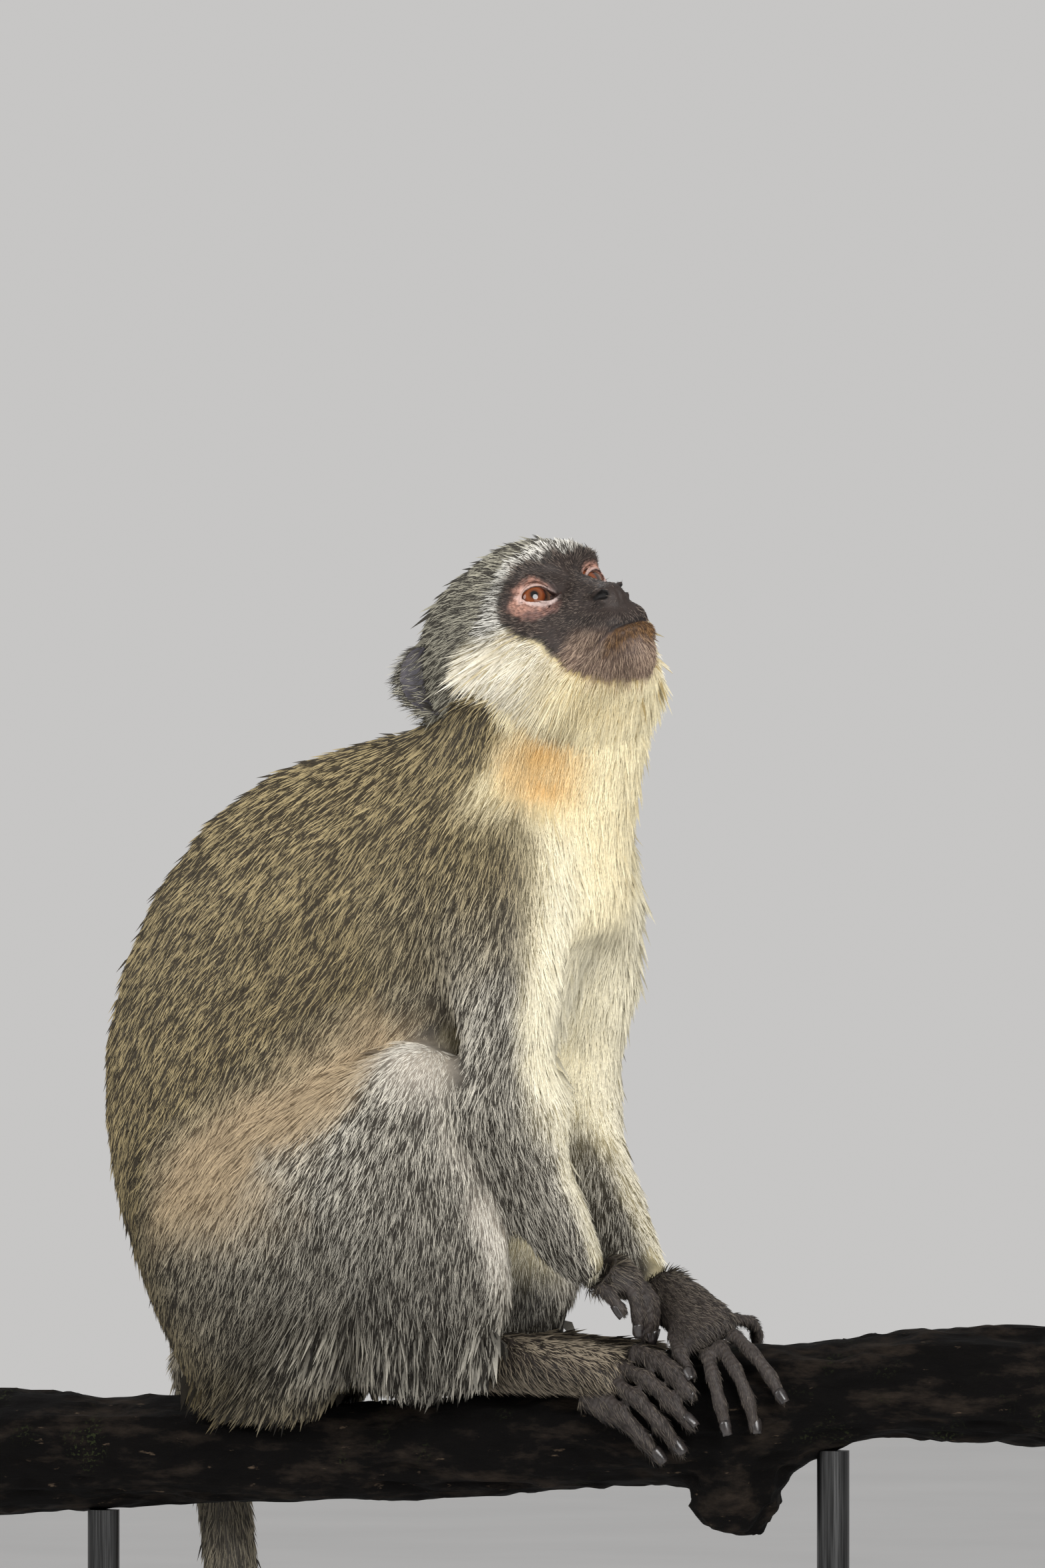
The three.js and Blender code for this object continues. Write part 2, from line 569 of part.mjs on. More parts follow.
function headLocks(grow) {
  const draw = randomDraws(SEED);
  const vary = (length) => length * (0.85 + 0.3 * draw());
  const locks = [];
  for (const side of Object.values(SIDE)) {
    const sideways = new THREE.Vector3(1, side, 1);
    for (const { back, count, length, halfWidth } of RUFF_ROWS) {
      for (let i = 0; i < count; i++) {
        const s = (i + 0.5 + (draw() - 0.5) * 0.5) / count;
        const near = FACE_EDGE.getPoint(s).add(new THREE.Vector3(-back, 0, -0.1 * back)).multiply(sideways);
        const lie = RUFF_LIE.getPoint(s).multiply(sideways).normalize();
        locks.push(headLock(near, lie, { length: vary(length), halfWidth, tipLift: RUFF_TIP_LIFT }, grow));
      }
    }
  }
  for (let i = 0; i < BROW_BAND.count; i++) {
    const near = BROW_EDGE.getPoint((i + 0.5) / BROW_BAND.count);
    const lie = new THREE.Vector3(-0.6, near.y * 0.02, 0.75).normalize();
    locks.push(headLock(near, lie, { ...BROW_BAND, length: vary(BROW_BAND.length) }, grow));
  }
  return locks;
}

const head = (grow) => {
  const coat = [headSkin(grow), ...headLocks(grow)];
  if (grow) return joined(coat);
  const sides = Object.values(SIDE);
  const lids = sides.flatMap((side) => [lidEdge(side, 1), lidEdge(side, -1)]);
  const cuts = [mouthLine(), ...sides.flatMap((side) => [lidOpening(side), nostril(side)])];
  return cuts.reduce((solid, cut) => solid.subtract(cut), joined([...coat, ...lids]));
};

function eyeball(side) {
  const centre = inSeatFrame(new THREE.Vector3(...eyeCentre(side)));
  return (grow) => solidOfGeometry(
    new THREE.SphereGeometry(EYE.radius + grow, 11, 8).rotateY(radians(90)).translate(...centre));
}

// ---------------------------------------------------------------- the ears
// A thin rounded cup. Its rim is an oval, and the hollow faces out and forward.
const EAR = { height: 17, width: 12, cup: 5, thick: 1.6, root: [-61, 32, -2], turn: 38, lean: 10 };

function ear(side) {
  const frame = new THREE.Matrix4().makeRotationZ(side * radians(EAR.turn))
    .multiply(new THREE.Matrix4().makeRotationX(side * radians(EAR.lean)));
  const root = new THREE.Vector3(EAR.root[0], side * EAR.root[1], EAR.root[2]);
  const [sides, rings] = [16, 3];
  const sheet = (offset, shrink) => {
    const loops = [];
    for (let i = rings; i >= 1; i--) {
      const reach = i / rings;
      loops.push(Array.from({ length: sides }, (_, j) => {
        const turn = (j / sides) * 2 * Math.PI;
        const lobe = 1 - 0.12 * Math.cos(turn * 2 + 0.6);
        const y = Math.sin(turn) * (EAR.width * lobe - shrink) * reach + EAR.width * 0.75;
        const z = Math.cos(turn) * (EAR.height - shrink) * reach;
        return new THREE.Vector3(-EAR.cup * (1 - reach ** 2) + offset, y, z);
      }));
    }
    return loops;
  };
  const face = sheet(EAR.thick / 2, 0.6);
  const back = sheet(-EAR.thick / 2, 0).reverse();
  const place = (p) => inSeatFrame(new THREE.Vector3(p.x, side * p.y, p.z).applyMatrix4(frame).add(root));
  const middle = (offset) => place(new THREE.Vector3(-EAR.cup + offset, EAR.width * 0.75, 0));
  const loops = [...back, ...face].map((loop) => loop.map(place));
  return () => closeLoops(loops, middle(-EAR.thick / 2), middle(EAR.thick / 2));
}

// ---------------------------------------------------------------- the stand
function makeBase() {
  const { length, width, height, corner, bevel } = BASE;
  const outline = new THREE.Shape();
  const [x, y] = [length / 2 - bevel, width / 2 - bevel];
  const r = corner - bevel;
  outline.moveTo(-x + r, -y);
  outline.absarc(x - r, -y + r, r, -Math.PI / 2, 0);
  outline.absarc(x - r, y - r, r, 0, Math.PI / 2);
  outline.absarc(-x + r, y - r, r, Math.PI / 2, Math.PI);
  outline.absarc(-x + r, -y + r, r, Math.PI, Math.PI * 1.5);
  return solidOfGeometry(new THREE.ExtrudeGeometry(outline, {
    depth: height - 2 * bevel, bevelEnabled: true, bevelThickness: bevel, bevelSize: bevel, bevelSegments: 1,
    curveSegments: 4, steps: 1,
  }).translate(SEAT_TO_BASE, 0, bevel - SEAT_HEIGHT));
}

// A round post standing on the base. Its top runs into the branch, which cuts it to length.
const post = (x, radius, height, sides) => () => solidOfGeometry(
  new THREE.CylinderGeometry(radius, radius, height, sides).rotateX(Math.PI / 2)
    .translate(x, 0, BASE.height + GAP + height / 2 - SEAT_HEIGHT));

// ---------------------------------------------------------------- the whole model
const seat = new THREE.Group();
const model = new THREE.Group();
seat.position.set(-SEAT_TO_BASE, 0, SEAT_HEIGHT);
model.add(seat);

// Adds a node. What was added before it keeps its space: each such solid, grown by the gap, is cut away.
const placed = [];
function add(name, material, build) {
  const grown = build(GAP);
  let solid = build(0);
  const box = grown.boundingBox();
  for (const other of placed) {
    if (box.min.every((low, i) => low < other.box.max[i] && other.box.min[i] < box.max[i])) {
      solid = solid.subtract(other.grown);
    }
  }
  placed.push({ grown, box });
  const mesh = new THREE.Mesh(geometryOfSolid(largestBody(solid)), material);
  mesh.name = name;
  seat.add(mesh);
}

add("stand_base", STAND_WOOD, makeBase);
add("perch_branch", BARK, makeBranch);
for (const [end, x] of [["behind", ROD.behind], ["ahead", ROD.ahead]]) {
  add(`stand_rod_${end}`, STAND_STEEL, post(x, ROD.radius, SEAT_HEIGHT - BASE.height, 16));
}
add("loin", FUR_BACK, trunk(0, WAIST - 0.0008, [20, 0]));
add("chest", FUR_PALE, trunk(WAIST, 1, [0, 26]));
add("neck", FUR_PALE, neck);
for (const [name, side] of Object.entries(SIDE)) add(`eye_${name}`, EYE_AMBER, eyeball(side));
add("head", FUR_PALE, head);
for (const [name, side] of Object.entries(SIDE)) add(`ear_${name}`, FACE_SKIN, ear(side));
for (const [name, side] of Object.entries(SIDE)) {
  const sole = new THREE.Vector3(0, Math.cos(FOOT_SLANT), -side * Math.sin(FOOT_SLANT));
  add(`thigh_${name}`, FUR_LIMB, limb(THIGH, -side, [14, 18]));
  add(`shin_${name}`, FUR_LIMB, limb(SHIN, -side, [12, 8]));
  add(`foot_${name}`, FUR_DARK, limb(FOOT, -side, [9, 4], { sides: 10, rings: 5, power: 2.3, across: sole }));
  for (const [toe, places] of Object.entries(TOES)) {
    const points = places.map(([x, angle, lift]) => onBranch(x, -side * angle, lift));
    add(`toe_${toe}_${name}`, FUR_DARK, digit(points, DIGIT_RADIUS[toe] ?? TOE_RADIUS));
  }
}
for (const name of Object.keys(SIDE)) {
  add(`upper_arm_${name}`, FUR_LIMB, limb(UPPER_ARM[name], 1, [16, 13]));
  add(`forearm_${name}`, FUR_LIMB, limb(FOREARM[name], 1, [12, 6]));
  const palm = { sides: 12, rings: 4, power: 2.3, across: PALM_ACROSS[name] };
  add(`hand_${name}`, FUR_DARK, limb(PALM[name], 1, [6, 4], palm));
}
for (const [finger, places] of Object.entries(LEFT_FINGERS)) {
  const points = places.map(([x, angle, lift]) => onBranch(x, angle, lift));
  add(`${finger}_left`, FUR_DARK, digit(points, DIGIT_RADIUS[finger] ?? FINGER_RADIUS));
}
for (const [finger, points] of Object.entries(RIGHT_FINGERS)) {
  add(`${finger}_right`, FUR_DARK, digit(points, DIGIT_RADIUS[finger] ?? FINGER_RADIUS));
}
const tail = tailSpine();
for (let i = 0; i < TAIL_LENGTHS; i++) {
  const cut = GAP / TAIL_LENGTH;
  add(`tail_${i + 1}`, FUR_BACK, (grow) => loft(tail, {
    sides: 10, rings: 6, from: i / TAIL_LENGTHS + (i ? cut : 0), to: (i + 1) / TAIL_LENGTHS,
    caps: [i ? 0 : 6, i === TAIL_LENGTHS - 1 ? 8 : 0], grow: i ? 0 : grow,
  }));
}

export default model;
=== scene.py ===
"""A life-size vervet monkey on its branch: skin, coat, eyes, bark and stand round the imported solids.

Lengths are in metres, except in the head's own frame, which is in millimetres: +X along the muzzle, +Y to the
left, +Z to the crown, from midway between the pupils. Colours are given as the screen shows them.
"""
import math

import bpy
import numpy as np
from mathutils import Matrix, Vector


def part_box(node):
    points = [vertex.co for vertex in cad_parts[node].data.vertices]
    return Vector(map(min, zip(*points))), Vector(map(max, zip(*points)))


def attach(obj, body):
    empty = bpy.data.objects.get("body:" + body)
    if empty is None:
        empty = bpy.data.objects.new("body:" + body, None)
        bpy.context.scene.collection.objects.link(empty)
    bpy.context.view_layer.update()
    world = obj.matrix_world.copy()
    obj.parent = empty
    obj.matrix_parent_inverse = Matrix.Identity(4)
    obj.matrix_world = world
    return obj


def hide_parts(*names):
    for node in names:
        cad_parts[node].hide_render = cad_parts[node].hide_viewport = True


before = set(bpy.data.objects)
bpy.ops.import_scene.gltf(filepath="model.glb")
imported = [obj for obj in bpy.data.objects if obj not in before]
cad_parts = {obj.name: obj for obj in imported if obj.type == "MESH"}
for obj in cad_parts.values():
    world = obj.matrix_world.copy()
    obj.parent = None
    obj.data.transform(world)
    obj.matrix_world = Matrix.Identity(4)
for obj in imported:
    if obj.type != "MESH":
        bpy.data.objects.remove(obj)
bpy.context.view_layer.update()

import openvdb as vdb
from mathutils import Vector
from numpy.linalg import norm

# ---------------------------------------------------------------- sizes
MM = 0.001
SEED = 11
SIDES = {"right": -1, "left": 1}
DENSITY = 1.0  # share of the tufts that is made

HEAD_TURN = {"yaw": -38.0, "pitch": 28.0, "roll": 15.0}  # degrees from level and straight ahead
EYE_BEHIND_PUPILS = 8.0
EYE_RADIUS = 9.45
IRIS_RADIUS = 5.2
PUPIL_RADIUS = 1.55

PHOTO = {"height": 2352, "mm_per_pixel": 0.29}
CAMERA = {"azimuth": 22.0, "distance": 6.0, "aim": (0.0153, 0.0244, 0.858)}
FULL_SENSOR = 36.0

VOXEL = {"body": 0.0026, "tail": 0.002, "end": 0.0014, "face": 0.0006, "skull": 0.0014, "bark": 0.0021,
         "ear": 0.0005, "branch": 0.003}
BAND = 12  # voxels of distance kept on each side of a surface
MARGIN = 0.012  # of a grid round the solids in it
CLOSED_GAP = 0.0004  # more than half the gap between neighbouring solids

# The neck's core under its fringe: [x, y, z, half width, half depth] in millimetres from the seat.
NECK = np.array([
    [62, 0, 226, 40, 52], [74, -2, 262, 43, 48], [86, -8, 296, 43, 43], [88, -14, 322, 34, 34],
], float)
SEAT = np.array([-0.045, 0.0, 0.590])  # the seat's origin on top of the branch


def hex_colour(text):
    """A colour as the screen shows it, as linear light."""
    screen = np.array([int(text[i:i + 2], 16) for i in (0, 2, 4)]) / 255
    return np.where(screen < 0.04045, screen / 12.92, ((screen + 0.055) / 1.055) ** 2.4)


TUFT_COLOURS = {  # at the root and at the tip
    "back": "3e3628 c0ad80", "limb": "3e3931 f0e9d8", "cream": "bfb18d faf3e0", "throat": "c9b27e fff3cc",
    "chest": "b5a984 f5edd2", "gold": "c9974e f2c987", "buff": "6a5942 c4ae8c", "knee": "a69d90 f6f0e3",
    "crown": "3f3b34 bcb7a4", "brow": "4d4942 fbf8ee", "chin": "6a574b b8a08a", "face": "221c19 86786d",
    "pink": "4a2f27 96705f", "hand": "2b2623 6f665c", "foot": "332d26 a0937f", "tail": "443f37 a69c86",
    "stain": "4a3218 946a38",
}
ROOT, TIP = ({key: hex_colour(codes.split()[i]) for key, codes in TUFT_COLOURS.items()} for i in (0, 1))
SKIN = {key: hex_colour(code) for key, code in {
    # mouth: painted shade, the near-black groove of the line between the lips
    # nostril: painted shade, the near-black inside the nostrils' hollows
    "face": "2a211d", "chin": "5d4d46", "stain": "50381f", "mouth": "150f0f", "nostril": "0c0909",
    "hand": "302a27", "lid": "ab806f", "lid_low": "6b524c", "lid_edge": "30201b", "lid_wall": "855f54",
    # corner: painted shade, the dark of the eye's recessed inner corner
    "lid_rim": "c4b1ab", "corner": "2c1b17",
}.items()}


# ---------------------------------------------------------------- arrays
def smoothstep(low, high, x):
    t = np.clip((x - low) / (high - low), 0, 1)
    return t * t * (3 - 2 * t)


def unit(v):
    return v / np.maximum(norm(v, axis=-1, keepdims=True), 1e-12)


def mixed(a, b, share):
    share = np.asarray(share)[..., None]
    return a * (1 - share) + b * share


def between_corners(cell, share, value_at):
    """Values at loose points, each a share of the way through its cell, from those at the cells' corners."""
    total = np.zeros(len(cell))
    for corner in np.ndindex(2, 2, 2):
        weight = np.prod(np.where(corner, share, 1 - share), axis=1)
        total += weight * value_at(cell + np.array(corner))
    return total


def lattice_noise(points, size, seed):
    """Smooth noise from -1 to 1 with features about size across."""
    def value_at(at):
        mess = (at[:, 0] * 73856093) ^ (at[:, 1] * 19349663) ^ (at[:, 2] * 83492791) ^ (seed * 2654435761)
        mess = (mess ^ (mess >> 13)) * 1274126177
        return ((mess ^ (mess >> 16)) & 0xFFFF) / 0x7FFF - 1.0

    scaled = points / size
    cell = np.floor(scaled).astype(np.int64)
    share = scaled - cell
    return between_corners(cell, share * share * (3 - 2 * share), value_at)


def triangles_of(quads):
    return np.concatenate([quads[:, [0, 1, 2]], quads[:, [0, 2, 3]]])


def vertex_normals(verts, tris):
    a, b, c = (verts[tris[:, i]] for i in range(3))
    faces = np.cross(b - a, c - a)
    normals = np.stack([
        sum(np.bincount(tris[:, i], faces[:, axis], len(verts)) for i in range(3)) for axis in range(3)
    ], axis=1)
    return unit(normals)


def smoothed(values, tris, passes):
    """Values on the points of a mesh, evened out with their neighbours'."""
    ends = np.concatenate([tris[:, [0, 1]], tris[:, [1, 2]], tris[:, [2, 0]]])
    count = np.bincount(ends.ravel(), minlength=len(values)).astype(float)[:, None]
    for _ in range(passes):
        sums = np.stack([
            np.bincount(ends[:, 0], column[ends[:, 1]], len(values))
            + np.bincount(ends[:, 1], column[ends[:, 0]], len(values)) for column in values.T
        ], axis=1)
        values = 0.5 * values + 0.5 * sums / np.maximum(count, 1)
    return values


# ---------------------------------------------------------------- meshes
def node_mesh(name):
    """The points and triangles of a CAD node."""
    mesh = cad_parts[name].data
    verts = np.empty(len(mesh.vertices) * 3, np.float32)
    mesh.vertices.foreach_get("co", verts)
    mesh.calc_loop_triangles()
    tris = np.empty(len(mesh.loop_triangles) * 3, np.int32)
    mesh.loop_triangles.foreach_get("vertices", tris)
    return merged(verts.reshape(-1, 3), tris.reshape(-1, 3))


def merged(verts, tris):
    """The same mesh with the points at one place made one."""
    _, first, same = np.unique(np.round(verts / 1e-6).astype(np.int64), axis=0, return_index=True,
                               return_inverse=True)
    return verts[first], same.ravel()[tris].astype(np.int32)


def mesh_object(name, verts, faces, colours=None, uvs=None, extra=None, normals=None):
    """A mesh object from arrays. faces has one row of point numbers for each face, all of one length."""
    mesh = bpy.data.meshes.new(name)
    corners = faces.shape[1]
    mesh.vertices.add(len(verts))
    mesh.vertices.foreach_set("co", np.ascontiguousarray(verts, np.float32).ravel())
    mesh.loops.add(faces.size)
    mesh.loops.foreach_set("vertex_index", np.ascontiguousarray(faces, np.int32).ravel())
    mesh.polygons.add(len(faces))
    mesh.polygons.foreach_set("loop_start", np.arange(len(faces), dtype=np.int32) * corners)
    mesh.polygons.foreach_set("use_smooth", np.full(len(faces), True))
    mesh.update(calc_edges=True)
    if normals is not None:
        mesh.normals_split_custom_set_from_vertices(normals.tolist())
    if colours is not None:
        layer = mesh.color_attributes.new(name="Marking", type="FLOAT_COLOR", domain="POINT")
        rgba = np.concatenate([colours, np.ones((len(colours), 1))], axis=1)
        layer.data.foreach_set("color", rgba.astype(np.float32).ravel())
    for key, values in (extra or {}).items():
        mesh.attributes.new(key, "FLOAT", "POINT").data.foreach_set("value", values.astype(np.float32))
    if uvs is not None:
        layer = mesh.uv_layers.new(name="OFBake")
        layer.data.foreach_set("uv", uvs[faces.ravel()].astype(np.float32).ravel())
    obj = bpy.data.objects.new(name, mesh)
    bpy.context.scene.collection.objects.link(obj)
    return obj


def joined_meshes(parts):
    """Several (points, faces) as one."""
    counts = np.cumsum([0] + [len(verts) for verts, _ in parts])
    verts = np.concatenate([verts for verts, _ in parts])
    return verts, np.concatenate([faces + start for (_, faces), start in zip(parts, counts)])


# ---------------------------------------------------------------- volumes
def blend(a, b, soft):
    """The union of two fields, melted into each other over soft."""
    near = np.maximum(soft - np.abs(a - b), 0) / soft
    return np.minimum(a, b) - near * near * soft / 4


def carve(body, hollow, soft):
    return -blend(-body, hollow, soft)


def blurred(values, passes):
    for _ in range(passes):
        for axis in range(3):
            line = values.swapaxes(0, axis)
            line[1:-1] = 0.25 * line[:-2] + 0.5 * line[1:-1] + 0.25 * line[2:]
    return values


def surface(values, first, voxel):
    """The points and quads of a field's zero surface, facing out."""
    grid = vdb.FloatGrid(float(values.max()))
    grid.transform = vdb.createLinearTransform(voxelSize=voxel)
    grid.copyFromArray(np.ascontiguousarray(values, np.float32), ijk=tuple(int(i) for i in first))
    verts, quads = grid.convertToQuads(0.0)
    a, b, c = (verts[quads[:, i]] for i in range(3))
    facing_out = np.einsum("ij,ij->i", a - verts.mean(0), np.cross(b - a, c - a)).sum() > 0
    return verts.astype(float), quads if facing_out else quads[:, ::-1]


class Solids:
    """The signed distances of several CAD nodes on one grid of points."""

    def __init__(self, names, voxel, within=(), margin=MARGIN):
        meshes = {name: node_mesh(name) for name in names}
        reached = np.concatenate([meshes[name][0] for name in within or names])
        self.voxel = voxel
        self.first = np.floor((reached.min(0) - margin) / voxel).astype(int)
        self.shape = np.ceil((reached.max(0) + margin) / voxel).astype(int) - self.first + 1
        self.fields = {name: self.distances(*mesh) for name, mesh in meshes.items()}

    def distances(self, verts, tris):
        transform = vdb.createLinearTransform(voxelSize=self.voxel)
        grid = vdb.FloatGrid.createLevelSetFromPolygons(
            verts.astype(np.float32), triangles=tris.astype(np.uint32), transform=transform, halfWidth=BAND)
        values = np.empty(self.shape, np.float32)
        grid.copyToArray(values, ijk=tuple(int(i) for i in self.first))
        return values

    def closed(self, whole):
        """The distances from a union of solids without the thin gaps between them."""
        verts, quads = surface(whole - CLOSED_GAP, self.first, self.voxel)
        return self.distances(verts, triangles_of(quads)) + CLOSED_GAP

    def points(self):
        axes = [(self.first[i] + np.arange(self.shape[i])) * self.voxel for i in range(3)]
        return np.stack(np.meshgrid(*axes, indexing="ij"), axis=-1)

    def within_grid(self, whole):
        """A field closed off two voxels inside the grid's sides."""
        steps = [np.minimum(np.arange(n), n - 1 - np.arange(n)) for n in self.shape]
        inset = np.minimum.reduce(np.meshgrid(*steps, indexing="ij"))
        return np.maximum(whole, (2 - inset) * self.voxel)

    def coat_depth(self, reach):
        """The depth of the coat over the skin at each grid point."""
        depths = [BODY_COAT[coat_kind(name)][DEPTH] * MM for name in self.fields]
        return np.tensordot(depths, self.shares(np.array(list(self.fields.values())), reach), axes=1)

    def shares(self, stack, reach):
        """How much each solid counts at each place: the nearest one most, the others within reach."""
        nearest = stack.min(0)
        known = (stack < self.voxel * (BAND - 0.5)) | (stack == nearest)
        nearness = np.exp(-(stack - nearest) / reach) * known
        return nearness / nearness.sum(0)

    def at(self, points, field):
        """A field's values at loose points."""
        place = points / self.voxel - self.first
        low = np.clip(np.floor(place).astype(int), 0, self.shape - 2)
        return between_corners(low, np.clip(place - low, 0, 1), lambda i: field[i[:, 0], i[:, 1], i[:, 2]])

    def shares_at(self, points, reach):
        """The shares at loose points, one row a point."""
        return self.shares(np.array([self.at(points, field) for field in self.fields.values()]), reach).T


class Branch:
    """The branch's form, which tufts are kept out of."""

    def __init__(self):
        self.solids = Solids(["perch_branch"], VOXEL["branch"])
        self.form = self.solids.fields["perch_branch"]

    def keep_out(self, points, clearance=0.0008):
        depth = clearance - self.solids.at(points, self.form)
        inside = np.flatnonzero(depth > 0)
        near = points[inside]
        steps = np.eye(3) * self.solids.voxel
        slope = unit(np.stack([self.solids.at(near + step, self.form) - self.solids.at(near - step, self.form)
                               for step in steps], axis=1))
        points = points.copy()
        points[inside] += slope * depth[inside, None]
        return points


# ---------------------------------------------------------------- the head's frame and form
def turned(angle, i, j):
    """The matrix of a turn that carries axis i toward axis j."""
    turn = np.eye(3)
    turn[[i, j], [i, j]] = math.cos(angle)
    turn[i, j], turn[j, i] = -math.sin(angle), math.sin(angle)
    return turn


def head_axes():
    """Forward, left and up of the head, as the rows of a matrix."""
    yaw, pitch, roll = (math.radians(HEAD_TURN[key]) for key in ("yaw", "pitch", "roll"))
    return (turned(yaw, 0, 1) @ turned(pitch, 0, 2) @ turned(roll, 1, 2)).T


HEAD_AXES = head_axes()
EYE_CENTRES = {name: np.mean(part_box(f"eye_{name}"), axis=0) for name in SIDES}
HEAD_ORIGIN = (EYE_CENTRES["left"] + EYE_CENTRES["right"]) / 2 + HEAD_AXES[0] * EYE_BEHIND_PUPILS * MM
EYE_APART = norm(EYE_CENTRES["left"] - EYE_CENTRES["right"]) / MM


def to_head(points):
    return (points - HEAD_ORIGIN) @ HEAD_AXES.T / MM


def ellipsoid(p, centre, radii):
    q = (p - np.array(centre)) / np.array(radii)
    k = norm(q, axis=1)
    slope = norm(q / np.array(radii), axis=1)
    return k * (k - 1) / np.maximum(slope, 1e-6)


def cone(p, a, radius_a, b, radius_b):
    a, b = np.array(a, float), np.array(b, float)
    along = np.clip((p - a) @ (b - a) / ((b - a) @ (b - a)), 0, 1)
    radius = radius_a + (radius_b - radius_a) * along
    return norm(p - a - along[:, None] * (b - a), axis=1) - radius


def chain(p, stations):
    """The distance to a string of beads joined by cones. A station is (x, y, z, radius)."""
    return np.min([cone(p, a[:3], a[3], b[:3], b[3]) for a, b in zip(stations, stations[1:])], axis=0)


def eye_middle(side):
    return np.array([-EYE_BEHIND_PUPILS, side * EYE_APART / 2, 0])


# The almond opening between the lids, from the eye's middle, as the eye's view shows it.
OPENING = {"outer": 7.4, "inner": 8.8, "above": 4.0, "below": 3.0, "rise": -1.5, "aside": 0.12, "tilt": 0.25}
LID_RADIUS = 10.6
# Beads round a lid: their count, how near the corners they end, and how reach and radius fade there.
LID_BEADS = {"count": 9, "ends": 0.85, "reach_fades": 1.2, "radius_fades": 1.6}
INNER_CORNER = -5.0  # where across the eye's view the shallow inner corner starts
FAR = 99.0  # more than any distance in the head
MOUTH = {"corner_height": -36.2, "front_height": -34.3, "turn": 1.22, "middle_x": 6.0, "points": 15}


def eye_view(p, side):
    """How far points lie outward and above the middle of an eye, in front of which they are."""
    q = p - eye_middle(side)
    return side * q[:, 1] - OPENING["aside"] * q[:, 0], q[:, 2] - OPENING["rise"]


def lid_point(side, out, up, lift=0.0):
    """The point of the lids' ball at a place of the eye's view, raised by lift."""
    ahead = math.sqrt(max((LID_RADIUS + lift) ** 2 - out ** 2 - up ** 2, 1.0))
    return eye_middle(side) + np.array([ahead, side * (out + OPENING["aside"] * ahead), up + OPENING["rise"]])


def opening_at(out):
    """How high the middle line of the opening between the lids lies, and how far the opening tapers there."""
    share = np.clip(np.abs(out) / np.where(out > 0, OPENING["outer"], OPENING["inner"]), 0, 1)
    return OPENING["tilt"] * out, (1 - share ** 2) ** np.where(out > 0, 0.5, 1.33)


def lid_margin(p, side):
    """Roughly how far points lie outside the almond opening between the lids, seen from in front."""
    out, up = eye_view(p, side)
    middle, taper = opening_at(out)
    height = np.where(up > middle, OPENING["above"], OPENING["below"]) * taper
    past_end = np.abs(out) - np.where(out > 0, OPENING["outer"], OPENING["inner"])
    return np.maximum(np.abs(up - middle) - height, past_end) * 0.9


def round_lid(side, key, reach, lift, radius):
    """Beads over the upper or under the lower lid, as far as reach from its edge, thinner at the ends."""
    points = []
    for share in np.linspace(-LID_BEADS["ends"], LID_BEADS["ends"], LID_BEADS["count"]):
        out = share * (OPENING["outer"] if share > 0 else OPENING["inner"])
        middle, taper = opening_at(out)
        height = OPENING[key] * taper + reach * math.cos(share * LID_BEADS["reach_fades"])
        place = lid_point(side, out, middle + (height if key == "above" else -height), lift)
        points.append((*place, radius * math.cos(share * LID_BEADS["radius_fades"])))
    return points


def head_form(p):
    """The field of the head's form at the coat's core, in millimetres, without the openings."""
    d = ellipsoid(p, (-44, 0, 1), (49, 38, 35))  # braincase
    d = blend(d, ellipsoid(p, (-24, 0, 10), (30, 28, 20.5)), 8)  # forehead
    d = blend(d, cone(p, (-4, 0, -20), 20, (16.5, 0, -30), 12.2), 12)  # muzzle
    d = blend(d, cone(p, (2, 0, -2), 6.5, (22.5, 0, -16.5), 5), 8)  # bridge of the nose
    d = blend(d, ellipsoid(p, (25.5, 0, -20), (4.8, 6.2, 5)), 5)  # nose pad
    d = blend(d, cone(p, (-12, 0, -38), 19, (17.5, 0, -42), 11.5), 8)  # lower jaw
    d = blend(d, ellipsoid(p, (-18, 0, -44), (32, 31, 20)), 12)  # throat
    for side in (1, -1):
        d = blend(d, ellipsoid(p, (-4, side * 12, 10.5), (6.5, 12.5, 4.6)), 6)  # brow
        d = blend(d, ellipsoid(p, (-30, side * 26, -24), (30, 14.5, 23.5)), 12)  # cheek
        d = blend(d, ellipsoid(p, (-59, side * 26, -14), (27, 13, 22)), 12)  # side of the head
        d = blend(d, ellipsoid(p, (16.5, side * 6.5, -30.5), (11.5, 8, 7.5)), 5)  # upper lip
    return d


def on_form(start, way):
    """The place where a ray from inside the head leaves its form."""
    low, high = 0.0, 70.0
    for _ in range(20):
        middle = (low + high) / 2
        inside = head_form((start + way * middle)[None])[0] < 0
        low, high = (middle, high) if inside else (low, middle)
    return start + way * low


def mouth_line(lower=0.0):
    """Points along the closed lips from one corner to the other, or lower than them on the lower lip."""
    points = []
    for share in np.linspace(-1, 1, MOUTH["points"]):
        height = MOUTH["front_height"] + (MOUTH["corner_height"] - MOUTH["front_height"]) * share ** 2
        turn = share * MOUTH["turn"]
        way = np.array([math.cos(turn), math.sin(turn), 0])
        points.append(on_form(np.array([MOUTH["middle_x"], 0.0, height - lower]), way))
    return points


def beads(points, radii):
    return [(*point, radius) for point, radius in zip(points, radii)]


MOUTH_LINE = mouth_line()
LOWER_LIP = mouth_line(3.4)
NOSTRIL = ((22.0, 7.2, -17.4, 0.3), (24.8, 6.9, -17.9, 0.7), (27.6, 5.5, -18.6, 1.9))


